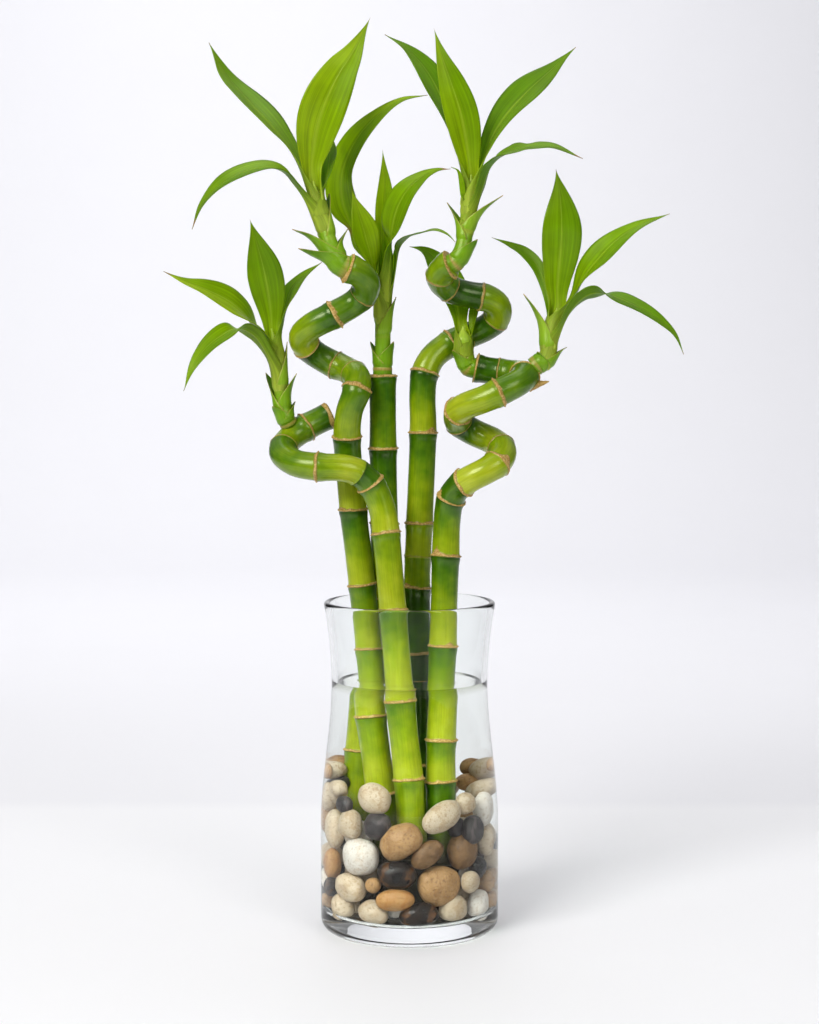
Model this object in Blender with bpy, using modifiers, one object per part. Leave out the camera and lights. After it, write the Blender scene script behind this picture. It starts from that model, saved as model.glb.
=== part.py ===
# Lucky bamboo in a clear glass vase: five canes, four of them wound into loose spirals, with six
# leafy shoots, standing in pebbles and water. Metres, +Z up, origin at the middle of the vase's foot.
# Lengths below are typed in millimetres and turned into metres where a mesh is made.
import math

import bmesh
import bpy
import numpy as np
from mathutils import Matrix, Vector

MM = 0.001
GAP = 0.35  # clearance kept between neighbouring pieces

# Driving dimensions of the vase
VASE_HEIGHT = 148.5
FOOT_RADIUS = 40.0  # belly and foot, outside
WAIST_DROP = 5.0  # how much the waist is slimmer than the belly
WAIST_FROM, WAIST_HEIGHT = 48.0, 112.0  # where the belly starts to narrow, and the waist itself
RIM_FLARE = 3.6  # how much the rim opens past the waist
WALL = 2.7
FLOOR_HEIGHT = 8.5  # thickness of the glass foot
FOOT_CORNER, INNER_CORNER = 8.0, 5.0
VASE_STEPS = 36

# Water and pebbles
WATER_LEVEL = 112.5
WATER_BOTTOM = 79.0  # the water's own solid starts above the highest pebble
PEBBLE_TOP = 76.0

# Canes and shoots
CANE_RADIUS = 6.2
CANE_SIDES = 3  # bevel resolution, ten sides
SHOOT_SIDES = 2
LEAF_THICKNESS = 0.8

# Each cane from its foot on the glass to its cut end, through the middle of the stem
CANES = {
    "cane_left": [
        (-7.0, -4.5, 10.2), (-12.0, -2.0, 65), (-15.5, 0, 97), (-18.2, 2, 126.5), (-21.3, 4, 155),
        (-25.3, 5, 189), (-27.1, 5, 208), (-27.9, 3, 222), (-26.8, 0, 233), (-23.8, -1.5, 241.5),
        (-23.2, 3, 248.5), (-27.5, 10.5, 252), (-35.4, 14.5, 255.5), (-44.0, 11.5, 260.5),
        (-47.9, 4.5, 266), (-43.2, -1.5, 271), (-33.5, -3.5, 276), (-25.2, -2.5, 280.7),
        (-20.2, -4.5, 285), (-18.9, -9.5, 290), (-22.3, -13.5, 294), (-27.7, -15.2, 296.4),
    ],
    "cane_front": [
        (4.4, -18.8, 10.3), (2.4, -17.3, 33), (0.6, -16, 54), (-0.5, -15, 72), (-3.8, -13, 105), (-7.3, -11, 145),
        (-10.4, -9, 179), (-12.4, -8.2, 191), (-16.3, -8.4, 200), (-21.8, -11, 206),
        (-29.0, -13.5, 208.8), (-40.2, -14, 209.3), (-50.3, -10, 210.8), (-56.3, -1.5, 214.8),
        (-54.3, 7, 220), (-47.2, 11, 225.4), (-40.3, 13, 229), (-35.4, 14, 231.2),
    ],
    "cane_middle": [
        (-23.0, 15, 10.4), (-19.6, 15.5, 64), (-17.6, 16, 92), (-15.7, 16, 120), (-13.4, 15, 147),
        (-11.4, 13, 182), (-11.9, 12, 216), (-12.1, 12, 249.6),
    ],
    "cane_back": [
        (3.4, 10, 10.2), (3.6, 10, 56), (4.0, 10.6, 108), (3.9, 11, 123), (3.4, 12, 153), (4.5, 13, 182),
        (6.1, 14, 223), (5.8, 14.3, 239), (6.9, 15, 250), (10.8, 17, 257.5), (18.0, 19.8, 263),
        (26.5, 20.5, 267), (34.6, 19, 270.6), (39.3, 15.5, 274.8), (39.6, 10.5, 279.8),
        (35.1, 7.5, 283.3), (27.0, 6, 285), (19.3, 4, 287), (14.2, -0.2, 290.4), (13.6, -5.5, 294.2),
        (15.9, -8.2, 296.8), (18.4, -9.3, 298.2),
    ],
    "cane_right": [
        (13.8, -8.9, 10.2), (12.9, -9, 58), (12.9, -8, 87), (14.8, -6, 129), (16.1, -5, 169),
        (16.7, -5, 185), (18.0, -6, 193.5), (21.2, -9, 199.6), (26.8, -12.8, 204), (33.2, -14, 207.3),
        (39.0, -11, 211), (41.5, -3.5, 215.6), (37.4, 4.8, 219.8), (28.7, 8.2, 223.7),
        (22.3, 5.2, 227.9), (21.3, -2, 232.4), (24.9, -9, 235.9), (33.4, -13, 239.2),
        (41.4, -13.2, 242.9), (47.8, -10.6, 246.2), (51.0, -4.2, 249.2), (49.3, 3.2, 250.9),
        (43.5, 7.6, 251.7), (36.1, 9.2, 252.4), (29.2, 9.2, 253.2),
    ],
}

# Each shoot: the cane it grows from, its course to the growing tip, and its radius at both ends
SHOOTS = {
    "shoot_left": ("cane_left", [(-28.3, -15.4, 296.7), (-31.5, -15.3, 300), (-34.5, -14.3, 306),
                                 (-37, -13, 314), (-39.4, -12.3, 321), (-41, -12, 329),
                                 (-42, -12, 334)], 5.2, 3.0),
    "shoot_front": ("cane_front", [(-54.6, 7, 228.3), (-55.8, 6.4, 231), (-57, 7, 236.5),
                                   (-58, 7.3, 246), (-59, 7, 255), (-60.4, 6, 264),
                                   (-61.6, 5.4, 270)], 4.4, 3.0),
    "shoot_middle": ("cane_middle", [(-12.1, 12, 250.2), (-12, 12, 261), (-12, 12, 276),
                                     (-12, 12, 286), (-11.6, 11.6, 294)], 4.4, 3.2),
    "shoot_back": ("cane_back", [(18.9, -9.5, 298.5), (22.8, -10.2, 303.4), (24.2, -9.2, 309.5),
                                 (25.2, -8.2, 316), (26, -8, 323), (26.8, -8, 331),
                                 (27, -8, 337)], 4.4, 3.0),
    "shoot_right": ("cane_right", [(56.5, -4, 254), (59.7, -3.6, 255.4), (61.3, -3, 259),
                                   (62, -1.5, 265), (64, 0, 273), (65.6, 1, 279)], 4.2, 3.0),
    "shoot_low": ("cane_right", [(28.5, 9.2, 253.3), (25, 8.8, 256), (24.1, 8.2, 260.5), (24, 8, 265),
                                 (24, 8, 271)], 4.6, 3.4),
}

# Each leaf from its base beside the shoot to its tip, with its width and the way its upper face looks
LEAVES = {
    "leaf_left_long": ([(-45.3, -10.5, 326), (-50, -4.5, 345), (-59, 2, 359), (-70, 10, 373),
                        (-80, 16, 385), (-90, 20, 398)], 17, (0.5, -0.5, 0.8)),
    "leaf_left_tall": ([(-41.7, -8, 329), (-42.7, -9, 343), (-41.3, -12, 356), (-37, -15, 368),
                        (-31, -15.5, 381), (-25, -13.5, 390), (-17, -10, 404.6)], 22, (0.1, -1, 0.1)),
    "leaf_left_drooping": ([(-44.6, -14.4, 318), (-49.5, -17, 331), (-54.5, -20, 338.5), (-61, -23, 341.3),
                            (-69, -26, 340.3), (-78, -29, 336.3), (-85, -31, 331), (-90, -32, 324),
                            (-93, -32, 312)], 14, (-0.3, -0.5, 0.8)),
    "leaf_left_inner": ([(-37.3, -11.5, 326), (-34.8, -7, 338), (-33.6, -1, 348), (-33.5, 5, 356)], 9,
                        (-0.5, -0.8, 0.3)),
    "leaf_front_tall": ([(-61, 9.6, 264), (-62.2, 8, 281), (-63.5, 3.5, 295), (-66, 0, 307),
                         (-70, -2, 318)], 16.5, (0.1, -1, 0.1)),
    "leaf_front_wide": ([(-64.8, 4, 260), (-71, -0.5, 273.5), (-79, -6.5, 282), (-89, -12, 287.5),
                         (-98, -15.5, 291), (-107, -18, 295)], 14.5, (0.2, -0.7, 0.7)),
    "leaf_front_drooping": ([(-62.3, 2.4, 250), (-66.8, -2.5, 263), (-72, -6, 269), (-77, -9.5, 270.5),
                             (-83, -13, 268), (-89, -16, 262.5), (-94, -19, 254.5), (-98, -20, 243)],
                            11, (-0.3, -0.5, 0.8)),
    "leaf_front_inner": ([(-57, 5.6, 262), (-54.4, 8.8, 275), (-51.7, 13, 284.5), (-46.5, 17, 291.5),
                          (-40, 20, 299.5)], 9, (-0.5, -0.7, 0.5)),
    "leaf_middle_spear": ([(-11.6, 11.6, 295.2), (-11.7, 11.5, 310), (-11.2, 11, 323), (-11, 10.5, 334),
                           (-12, 10, 350)], 8.5, (0, -1, 0.1)),
    "leaf_middle_wide": ([(-8.2, 8.6, 288), (-6.6, 6, 303), (-4.5, 2.6, 316), (0.5, -1.2, 326),
                          (7, -4, 333.5), (13, -6, 337.3), (18, -7, 339)], 13, (-0.2, -0.9, 0.5)),
    "leaf_middle_arching": ([(-7.2, 13, 280), (-5.2, 12, 293), (-3, 8.5, 303.5), (0, 2.5, 309),
                             (5, -4.5, 310.8), (10, -9, 311.8), (14.5, -12.5, 310.8), (17.6, -15, 308.4)], 7.5,
                            (0.1, -0.4, 0.9)),
    "leaf_middle_broad": ([(-15.8, 9.6, 282), (-18, 6, 299), (-20.8, 3, 310), (-23.5, 1, 320),
                           (-26.2, 0, 330)], 13, (0.3, -0.9, 0.3)),
    "leaf_middle_long": ([(-13, 16.4, 283), (-17.5, 19.5, 300), (-25, 20.5, 314), (-30.5, 17, 327),
                          (-31, 11.5, 340), (-25, 5, 354), (-15, 1, 364), (-4, -1, 370), (8, -2, 371.4)],
                         12, (-0.3, -0.8, 0.5)),
    "leaf_back_long": ([(22.4, -7.4, 328), (20.2, -2.5, 341), (17.6, 2.5, 355), (13.7, 7.5, 369),
                        (7, 11, 382), (-2, 14, 393), (-11, 16, 401)], 15, (0.4, -0.6, 0.7)),
    "leaf_back_tall": ([(26.9, -3.6, 331), (25.8, -6.5, 347), (23.2, -10, 362), (19.4, -12.5, 375),
                        (15, -12.5, 388), (11, -10, 400)], 15.5, (0.1, -1, 0.1)),
    "leaf_back_wide": ([(30.8, -6.4, 330), (33.4, -3.5, 348), (39, 0, 363), (49, 4, 376), (61, 6, 387),
                        (73, 7, 394)], 14, (-0.4, -0.7, 0.6)),
    "leaf_back_drooping": ([(29.4, -10.8, 319), (32.7, -14, 336), (37, -18, 343.4), (43, -22, 346.3),
                            (50, -25, 348), (56, -27, 348), (63, -29, 347), (74, -32, 342)], 10.5,
                           (0.3, -0.5, 0.8)),
    "leaf_back_small": ([(20.8, -9.6, 317), (20.9, -11, 329), (19.4, -12.2, 337), (16.2, -13, 339)], 4.5,
                        (-0.3, -0.6, 0.7)),
    "leaf_right_tall": ([(65.2, 5.4, 273), (66, 5.2, 290), (67, 2, 304), (67.2, -2, 315),
                         (66.3, -3, 328), (64.5, -2, 340)], 17.5, (0, -1, 0.1)),
    "leaf_right_wide": ([(69.4, -0.8, 272), (76, -5.4, 290.5), (83.5, -7.5, 301), (91.5, -9, 309),
                         (101, -9.5, 315), (114, -9, 320)], 14, (-0.3, -0.7, 0.7)),
    "leaf_right_drooping": ([(65.4, -4.4, 261), (69.6, -11.5, 276.5), (76, -14.5, 284.7), (83, -16, 287.3),
                             (91, -19.5, 285.5), (100, -23, 281), (108, -26, 275.5), (114, -28, 269),
                             (118, -29, 260)], 11.5, (0.4, -0.4, 0.8)),
    "leaf_right_inner": ([(60, 2, 266), (58.2, 6.6, 281), (56, 11, 296), (50.5, 14, 304.5),
                          (44, 16, 308.3), (37, 17, 311)], 8.5, (-0.4, -0.7, 0.6)),
    "leaf_low_broad": ([(22.3, 12, 266), (21.5, 15.5, 280), (17, 18, 292), (11, 19, 301),
                        (6, 19, 305.5), (0, 18.4, 307)], 12, (0.2, -0.8, 0.5)),
    "leaf_low_small": ([(27.8, 10.8, 265), (29, 13.6, 278), (32.5, 16, 283.5), (36, 17.5, 287.5)], 4.5,
                       (-0.2, -0.8, 0.5)),
}

# The pebbles that lie against the glass: place across and up, width, height and tilt in degrees
GLASS_PEBBLES = {
    "pebble_cream_top_left": (-14.2, 64.0, 15.3, 13.1, -20),
    "pebble_white_round": (-20.8, 39.1, 17.9, 16.2, 0),
    "pebble_tan_middle": (-3.3, 46.2, 18.0, 15.6, 25),
    "pebble_cream_tilted": (14.2, 56.0, 18.0, 12.5, 30),
    "pebble_grey_left": (-12.9, 52.0, 12.0, 11.5, 0),
    "pebble_black_veined": (-5.5, 31.1, 17.0, 11.8, 0),
    "pebble_amber_low": (-6.4, 20.0, 16.2, 9.6, 8),
    "pebble_black_low": (4.5, 14.3, 16.5, 10.5, 10),
    "pebble_tan_large": (12.0, 27.1, 18.6, 17.0, 0),
    "pebble_brown_small": (7.7, 40.9, 15.0, 11.5, 40),
    "pebble_brown_right": (21.7, 42.2, 14.0, 15.5, 0),
    "pebble_grey_right": (25.5, 51.5, 11.8, 11.0, 0),
    "pebble_white_right": (30.0, 60.4, 11.0, 14.4, 0),
    "pebble_cream_right": (22.9, 65.0, 10.0, 10.0, 0),
    "pebble_cream_left": (-24.5, 53.8, 11.6, 12.7, 0),
    "pebble_cream_edge": (-31.5, 50.0, 12.5, 17.5, 0),
    "pebble_amber_edge": (-32.0, 34.5, 10.0, 13.5, 0),
    "pebble_cream_wide": (-25.2, 25.8, 15.7, 12.2, 0),
    "pebble_cream_corner": (-27.8, 15.5, 12.5, 11.4, 0),
    "pebble_cream_low": (-14.0, 14.0, 14.0, 10.8, 0),
    "pebble_cream_foot": (18.6, 16.0, 12.7, 12.2, 0),
    "pebble_white_foot": (28.3, 19.5, 11.5, 13.5, -10),
}
BED_PEBBLES = 52  # the pebbles behind those, joined in one bed
BED_SEED = 11
SETTLING_ROUNDS = 900
# The middle of the bed, which joins its pebbles: radius, radius of its top, how far back it stands
CORE_RADIUS, CORE_SHOULDER, CORE_BACK, CORE_TOP = 28.5, 18.0, 3.0, 61.0

GREEN_CANE, GREEN_SHOOT, GREEN_LEAF = (0.20, 0.36, 0.03), (0.33, 0.50, 0.09), (0.16, 0.36, 0.04)
PEBBLE_COLOURS = {
    "cream": (0.74, 0.64, 0.48),
    "white": (0.82, 0.78, 0.70),
    "tan": (0.55, 0.40, 0.25),
    "brown": (0.30, 0.20, 0.12),
    "grey": (0.12, 0.12, 0.13),
    "black": (0.04, 0.04, 0.04),
    "amber": (0.58, 0.33, 0.11),
}


def clear_scene():
    for item in list(bpy.data.objects):
        bpy.data.objects.remove(item, do_unlink=True)


def new_collection(name):
    collection = bpy.data.collections.new(name)
    bpy.context.scene.collection.children.link(collection)
    return collection


def finish(name, colour, roughness, alpha=1.0, transmission=0.0):
    material = bpy.data.materials.new(name)
    material.use_nodes = True
    shader = material.node_tree.nodes["Principled BSDF"]
    shader.inputs["Base Color"].default_value = (*colour, 1.0)
    shader.inputs["Roughness"].default_value = roughness
    shader.inputs["Metallic"].default_value = 0.0
    shader.inputs["Alpha"].default_value = alpha
    shader.inputs["Transmission Weight"].default_value = transmission
    return material


def add_object(name, data, material, collection):
    item = bpy.data.objects.new(name, data)
    if material:
        data.materials.append(material)
    collection.objects.link(item)
    return item


def as_cutter(item):
    item.hide_render = True
    item.display_type = "WIRE"
    return item


def mesh_from(bm, name):
    mesh = bpy.data.meshes.new(name)
    bm.to_mesh(mesh)
    bm.free()
    mesh.shade_smooth()
    mesh.set_sharp_from_angle(angle=math.radians(50))
    return mesh


# Curves through points


def catmull_rom(points, per_span=12):
    """A smooth line through the points, sampled evenly within each span."""
    knots = [Vector(p) for p in points]
    knots = [2 * knots[0] - knots[1], *knots, 2 * knots[-1] - knots[-2]]
    line = []
    for a, b, c, d in zip(knots, knots[1:], knots[2:], knots[3:]):
        for step in range(per_span):
            t = step / per_span
            line.append(
                0.5 * (2 * b + (c - a) * t + (2 * a - 5 * b + 4 * c - d) * t**2
                       + (3 * b - a - 3 * c + d) * t**3)
            )
    return line + [knots[-2]]


def thinned(line, turn=math.radians(17), reach=26.0):
    """The same line with points only where it turns or runs on."""
    kept = [line[0]]
    start = (line[1] - line[0]).normalized()
    for before, point, after in zip(line, line[1:], line[2:]):
        heading = (after - before).normalized()
        if heading.angle(start) > turn or (point - kept[-1]).length > reach:
            kept.append(point)
            start = heading
    if (line[-1] - kept[-1]).length < 1.5:
        kept.pop()
    return kept + [line[-1]]


def distances(line):
    return np.cumsum([0.0] + [(b - a).length for a, b in zip(line, line[1:])])


def at_fractions(line, count):
    """Points at equal distances along a line, and its directions there."""
    lengths = distances(line)
    spots = np.linspace(0.0, lengths[-1], count)
    places = [Vector([np.interp(s, lengths, [p[axis] for p in line]) for axis in range(3)]) for s in spots]
    ahead = places[1:] + [2 * places[-1] - places[-2]]
    behind = [2 * places[0] - places[1]] + places[:-1]
    return places, [(b - a).normalized() for a, b in zip(behind, ahead)]


# Tubes: canes and shoots


def tube_mesh(name, line, radii, sides):
    """A tube along a line, as a mesh with its round ends welded on."""
    curve = bpy.data.curves.new(name, "CURVE")
    curve.dimensions = "3D"
    curve.bevel_depth = MM
    curve.bevel_resolution = sides
    curve.use_fill_caps = True
    spline = curve.splines.new("POLY")
    spline.points.add(len(line) - 1)
    for point, place, radius in zip(spline.points, line, radii):
        point.co = (*(place * MM), 1.0)
        point.radius = radius
    holder = bpy.data.objects.new(name, curve)
    bpy.context.scene.collection.objects.link(holder)
    bpy.context.view_layer.update()
    evaluated = holder.evaluated_get(bpy.context.evaluated_depsgraph_get())
    mesh = bpy.data.meshes.new_from_object(evaluated)
    bpy.data.objects.remove(holder, do_unlink=True)
    bpy.data.curves.remove(curve)
    bm = bmesh.new()
    bm.from_mesh(mesh)
    bpy.data.meshes.remove(mesh)
    bmesh.ops.remove_doubles(bm, verts=bm.verts, dist=0.00001)
    bmesh.ops.recalc_face_normals(bm, faces=bm.faces)
    return mesh_from(bm, name)


def cane_mesh(name, extra=0.0):
    line = thinned(catmull_rom(CANES[name]))
    if extra:  # a cutter reaches past the foot as well
        line[0] += (line[0] - line[1]).normalized() * 3
    return tube_mesh(name, line, [CANE_RADIUS + extra] * len(line), CANE_SIDES)


def nearest_index(line, place):
    return min(range(len(line)), key=lambda index: (line[index] - place).length)


def shoot_line(name):
    """A shoot's course, starting square to the cane just clear of it."""
    cane, points, _, _ = SHOOTS[name]
    stem = catmull_rom(CANES[cane])
    root = stem[nearest_index(stem, Vector(points[0]))]
    if root == stem[-1]:
        last = thinned(stem)
        out = (last[-1] - last[-2]).normalized()
        start = root + out * GAP
    else:
        out = (Vector(points[0]) - root).normalized()
        start = root + out * (CANE_RADIUS + GAP)
    return catmull_rom([start, start + 2.4 * out, *points[1:]])


def shoot_radii(name, line):
    """A shoot's radius at each point: it slims quickly from its foot, then slowly."""
    _, _, foot, tip = SHOOTS[name]
    along = distances(line)
    return np.interp(along / along[-1], (0, 0.3, 1), (foot, 0.3 * foot + 0.7 * tip, tip))


def shoot_mesh(name):
    line = shoot_line(name)
    line = [line[0]] + thinned(line[12:], turn=math.radians(14), reach=9.0)
    return tube_mesh(name, line, shoot_radii(name, line), SHOOT_SIDES)


# Leaves


def blade_width(s, widest=0.48, base=0.26):
    """A leaf's width, as a share of its full one, at the share s of its length."""
    if s < widest:
        return base + (1 - base) * math.sin(math.pi / 2 * s / widest) ** 1.6
    return max(math.cos(math.pi / 2 * (s - widest) / (1 - widest)) ** 1.2, 0.05)


def leaf_mesh(name, stem, stem_radii):
    """A leaf as an open strip, bent clear of the shoot that it grows from."""
    points, width, looks = LEAVES[name]
    lengths, across = 10, 2
    places, ahead = at_fractions(catmull_rom(points), lengths + 1)
    inward = (stem[nearest_index(stem, places[0])] - places[0]) * Vector((1, 1, 0))
    inward = inward.normalized() if inward.length > 1 else Vector((0, -1, 0))
    bm = bmesh.new()
    bmesh.ops.create_grid(bm, x_segments=across, y_segments=lengths, size=1.0)
    for vert in bm.verts:
        side, share = vert.co.x, (vert.co.y + 1) / 2
        row = round(share * lengths)
        turned = min(share / 0.6, 1.0)
        face = (inward * (1 - turned) + Vector(looks).normalized() * turned).normalized()
        sideways = ahead[row].cross(face).normalized()
        upwards = sideways.cross(ahead[row])
        half = width / 2 * blade_width(share)
        fold = 0.22 * half * abs(side)
        place = places[row] + sideways * side * half + upwards * fold
        near = nearest_index(stem, place)
        out = place - stem[near]
        bare = stem_radii[near] + LEAF_THICKNESS / 2 + 2 * GAP
        if out.length < bare:
            place += out.normalized() * (bare - out.length)
        vert.co = place * MM
    return mesh_from(bm, name)


def make_plants(parts):
    for name in CANES:
        add_object(name, cane_mesh(name), finish(name, GREEN_CANE, 0.28), parts)
    stems = {}
    for name in SHOOTS:
        line = shoot_line(name)
        stems[name.split("_")[1]] = line, shoot_radii(name, line)
        add_object(name, shoot_mesh(name), finish(name, GREEN_SHOOT, 0.35), parts)
    for name in LEAVES:
        mesh = leaf_mesh(name, *stems[name.split("_")[1]])
        leaf = add_object(name, mesh, finish(name, GREEN_LEAF, 0.4), parts)
        thick = leaf.modifiers.new("thickness", "SOLIDIFY")
        thick.thickness = LEAF_THICKNESS * MM
        thick.offset = 0.0


# The vase and the water


def outer_radius(z):
    t = min(max((z - WAIST_FROM) / (WAIST_HEIGHT - WAIST_FROM), 0.0), 1.0)
    flare = max(z - WAIST_HEIGHT, 0.0) / (VASE_HEIGHT - WAIST_HEIGHT)
    return FOOT_RADIUS - WAIST_DROP * t * t * (3 - 2 * t) + RIM_FLARE * flare**1.8


def inner_radius(z):
    """The bore, with its rounded corner at the floor."""
    rise = min(max(z - FLOOR_HEIGHT, 0.0), INNER_CORNER)
    corner = INNER_CORNER - math.sqrt(INNER_CORNER**2 - (INNER_CORNER - rise) ** 2)
    return outer_radius(z) - WALL - corner


def arc(centre_r, centre_z, radius, start, end, steps):
    angles = [math.radians(start + (end - start) * i / steps) for i in range(steps + 1)]
    return [(centre_r + radius * math.cos(a), centre_z + radius * math.sin(a)) for a in angles]


def turned(name, profile, material, collection):
    """A solid turned about Z from a half section that runs down its outer side."""
    bm = bmesh.new()
    verts = [bm.verts.new((r * MM, 0, z * MM)) for r, z in profile]
    for a, b in zip(verts, verts[1:]):
        bm.edges.new((a, b))
    item = add_object(name, mesh_from(bm, name), material, collection)
    screw = item.modifiers.new("turn", "SCREW")
    screw.steps = screw.render_steps = VASE_STEPS
    screw.use_merge_vertices = True
    screw.merge_threshold = 0.00001
    screw.use_normal_calculate = False
    return item


def make_vase(parts):
    lip = WALL / 2
    lip_z = VASE_HEIGHT - lip
    lip_r = outer_radius(lip_z) - lip
    heights = np.linspace(FLOOR_HEIGHT + INNER_CORNER, lip_z, 9)
    inside = [(0.0, FLOOR_HEIGHT)]
    inside += arc(inner_radius(FLOOR_HEIGHT), FLOOR_HEIGHT + INNER_CORNER, INNER_CORNER, -90, 0, 3)[:-1]
    inside += [(inner_radius(z), z) for z in heights]
    rim = arc(lip_r, lip_z, lip, 180, 0, 4)[1:]
    outside = [(outer_radius(z), z) for z in heights[::-1][1:-1]]
    foot = arc(FOOT_RADIUS - FOOT_CORNER, FOOT_CORNER, FOOT_CORNER, 0, -90, 4) + [(0.0, 0.0)]
    glass = finish("clear_glass", (0.95, 0.97, 0.96), 0.02, alpha=0.35, transmission=1.0)
    return turned("glass_vase", inside + rim + outside + foot, glass, parts)


def make_water(parts, cutters):
    heights = np.linspace(WATER_LEVEL, WATER_BOTTOM, 4)
    sides = [(inner_radius(z) - GAP, z) for z in heights]
    profile = [(0.0, WATER_LEVEL), *sides, (0.0, WATER_BOTTOM)]
    clear = finish("water", (0.90, 0.95, 0.95), 0.02, alpha=0.35, transmission=1.0)
    water = turned("water", profile, clear, parts)
    for name in CANES:
        cut(water, cutters[name], "DIFFERENCE")


def cut(item, tool, operation):
    change = item.modifiers.new(tool.name, "BOOLEAN")
    change.operation = operation
    change.solver = "EXACT"
    change.object = tool


# Pebbles


def reach(shape, direction):
    """How far ellipsoids stretch along directions; shape is R diag(half sizes squared) R^T."""
    return np.sqrt(np.einsum("...i,...ij,...j->...", direction, shape, direction))


def against_glass(x, z, width, height, tilt):
    """Centre, axes and half sizes of a pebble that leans on the inside of the glass."""
    across, up = width / 2, height / 2
    thick = min(max(0.42 * min(width, height), 4.2), 6.2)
    radius = inner_radius(z) - thick - 2 * GAP
    x = min(max(x, -0.985 * radius), 0.985 * radius)
    y = -math.sqrt(radius**2 - x**2)
    axes = Matrix.Rotation(math.atan2(x, -y), 3, "Z") @ Matrix.Rotation(-math.radians(tilt), 3, "Y")
    return (x, y, z), np.array(axes), (across, thick, up)


def loose_pebble(random):
    """Centre, axes and half sizes of a pebble dropped somewhere into the bed."""
    angle, radius = random.uniform(0, 2 * math.pi), 30 * math.sqrt(random.uniform(0.02, 1))
    place = (radius * math.cos(angle), radius * math.sin(angle), random.uniform(14, 70))
    size = random.uniform(5.4, 8.6)
    axes, _ = np.linalg.qr(random.normal(size=(3, 3)))
    if np.linalg.det(axes) < 0:
        axes[:, 0] *= -1
    return place, axes, (size, size * random.uniform(0.68, 0.85), size * random.uniform(0.78, 0.95))


def settled(places, shapes, held):
    """Lets pebbles sink and pushes them apart, out of the canes and inside the glass."""
    homes, weights = places.copy(), np.where(held, 0.06, 1.0)
    first, second = np.triu_indices(len(places), 1)
    routes = [catmull_rom(route, per_span=4) for route in CANES.values()]
    posts = [(np.array(a), np.array(b)) for route in routes for a, b in zip(route, route[1:])
             if a[2] < WATER_BOTTOM]
    up = np.array([0.0, 0.0, 1.0])
    for turn in range(SETTLING_ROUNDS):
        if turn < 0.8 * SETTLING_ROUNDS:
            places[~held, 2] -= 0.1
            places[held] += 0.12 * (homes[held] - places[held])
        for _ in range(2):
            between = places[second] - places[first]
            apart = np.linalg.norm(between, axis=1)
            close = apart < 20
            a, b, away = first[close], second[close], between[close] / apart[close, None]
            excess = np.maximum(reach(shapes[a], away) + reach(shapes[b], away) + GAP - apart[close], 0)
            share = weights[a] / (weights[a] + weights[b])
            push = np.zeros_like(places)
            np.add.at(push, a, -away * (excess * share)[:, None])
            np.add.at(push, b, away * (excess * (1 - share))[:, None])
            places += 0.45 * push
            for foot, top in posts:
                axis = top - foot
                along = np.clip((places - foot) @ axis / (axis @ axis), 0, 1)
                out = places - foot - along[:, None] * axis
                far = np.linalg.norm(out, axis=1)
                out /= far[:, None]
                excess = np.maximum(CANE_RADIUS + 2 * GAP + reach(shapes, out) - far, 0)
                places += out * (0.8 * excess)[:, None]
            keep_inside(places, shapes, up)
    return places


def keep_inside(places, shapes, up):
    radius = np.linalg.norm(places[:, :2], axis=1)
    outward = np.zeros_like(places)
    outward[:, :2] = places[:, :2] / radius[:, None]
    bore = np.array([inner_radius(z) for z in places[:, 2]])
    excess = np.maximum(radius + reach(shapes, outward) + 2 * GAP - bore, 0)
    places -= outward * excess[:, None]
    height = reach(shapes, np.broadcast_to(up, places.shape))
    places[:, 2] = np.maximum(places[:, 2], FLOOR_HEIGHT + GAP + height)


def pebble_mesh(name, place, axes, halves, extra=0.0):
    bm = bmesh.new()
    bmesh.ops.create_icosphere(bm, subdivisions=2, radius=1.0)
    scale = Matrix.Diagonal([(half + extra) * MM for half in halves])
    for vert in bm.verts:
        vert.co = Matrix(axes.tolist()) @ (scale @ vert.co) + Vector(place) * MM
    return mesh_from(bm, name)


def bites_core(place, half):
    """Whether a pebble of the bed reaches well into the core that joins them."""
    out = math.hypot(place[0], place[1] - CORE_BACK) - half
    return out < CORE_RADIUS - 1.5 and place[2] - half < CORE_TOP - 1.5 - max(out - CORE_SHOULDER + 4, 0)


def make_pebbles(parts, cutters, cane_cutters):
    random = np.random.default_rng(BED_SEED)
    rows = [against_glass(*row) for row in GLASS_PEBBLES.values()]
    rows += [loose_pebble(random) for _ in range(BED_PEBBLES)]
    axes = np.array([row[1] for row in rows])
    halves = np.array([row[2] for row in rows])
    shapes = np.einsum("nij,nj,nkj->nik", axes, halves**2, axes)
    held = np.arange(len(rows)) < len(GLASS_PEBBLES)
    places = settled(np.array([row[0] for row in rows], float), shapes, held)
    slope = CORE_RADIUS - CORE_SHOULDER
    floor = FLOOR_HEIGHT + GAP
    section = [(0, CORE_TOP), (CORE_SHOULDER, CORE_TOP), (CORE_RADIUS, CORE_TOP - slope),
               (CORE_RADIUS, floor), (0, floor)]
    core = turned("pebble_bed", section, finish("pebble_bed", PEBBLE_COLOURS["tan"], 0.5), parts)
    core.location.y = CORE_BACK * MM
    for name, place, turn, sizes in zip(GLASS_PEBBLES, places, axes, halves):
        colour = PEBBLE_COLOURS[name.split("_")[1]]
        add_object(name, pebble_mesh(name, place, turn, sizes), finish(name, colour, 0.35), parts)
        room = add_object(name + "_room", pebble_mesh(name, place, turn, sizes, 1.2), None, cutters)
        cut(core, as_cutter(room), "DIFFERENCE")
    bed = zip(places[~held], axes[~held], halves[~held])
    for number, (place, turn, sizes) in enumerate(bed):
        if place[2] > PEBBLE_TOP - sizes[2] or not bites_core(place, min(sizes)):
            continue
        name = f"bed_pebble_{number:02d}"
        piece = add_object(name, pebble_mesh(name, place, turn, sizes), None, cutters)
        cut(core, as_cutter(piece), "UNION")
    for name in CANES:
        cut(core, cane_cutters[name], "DIFFERENCE")


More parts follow.
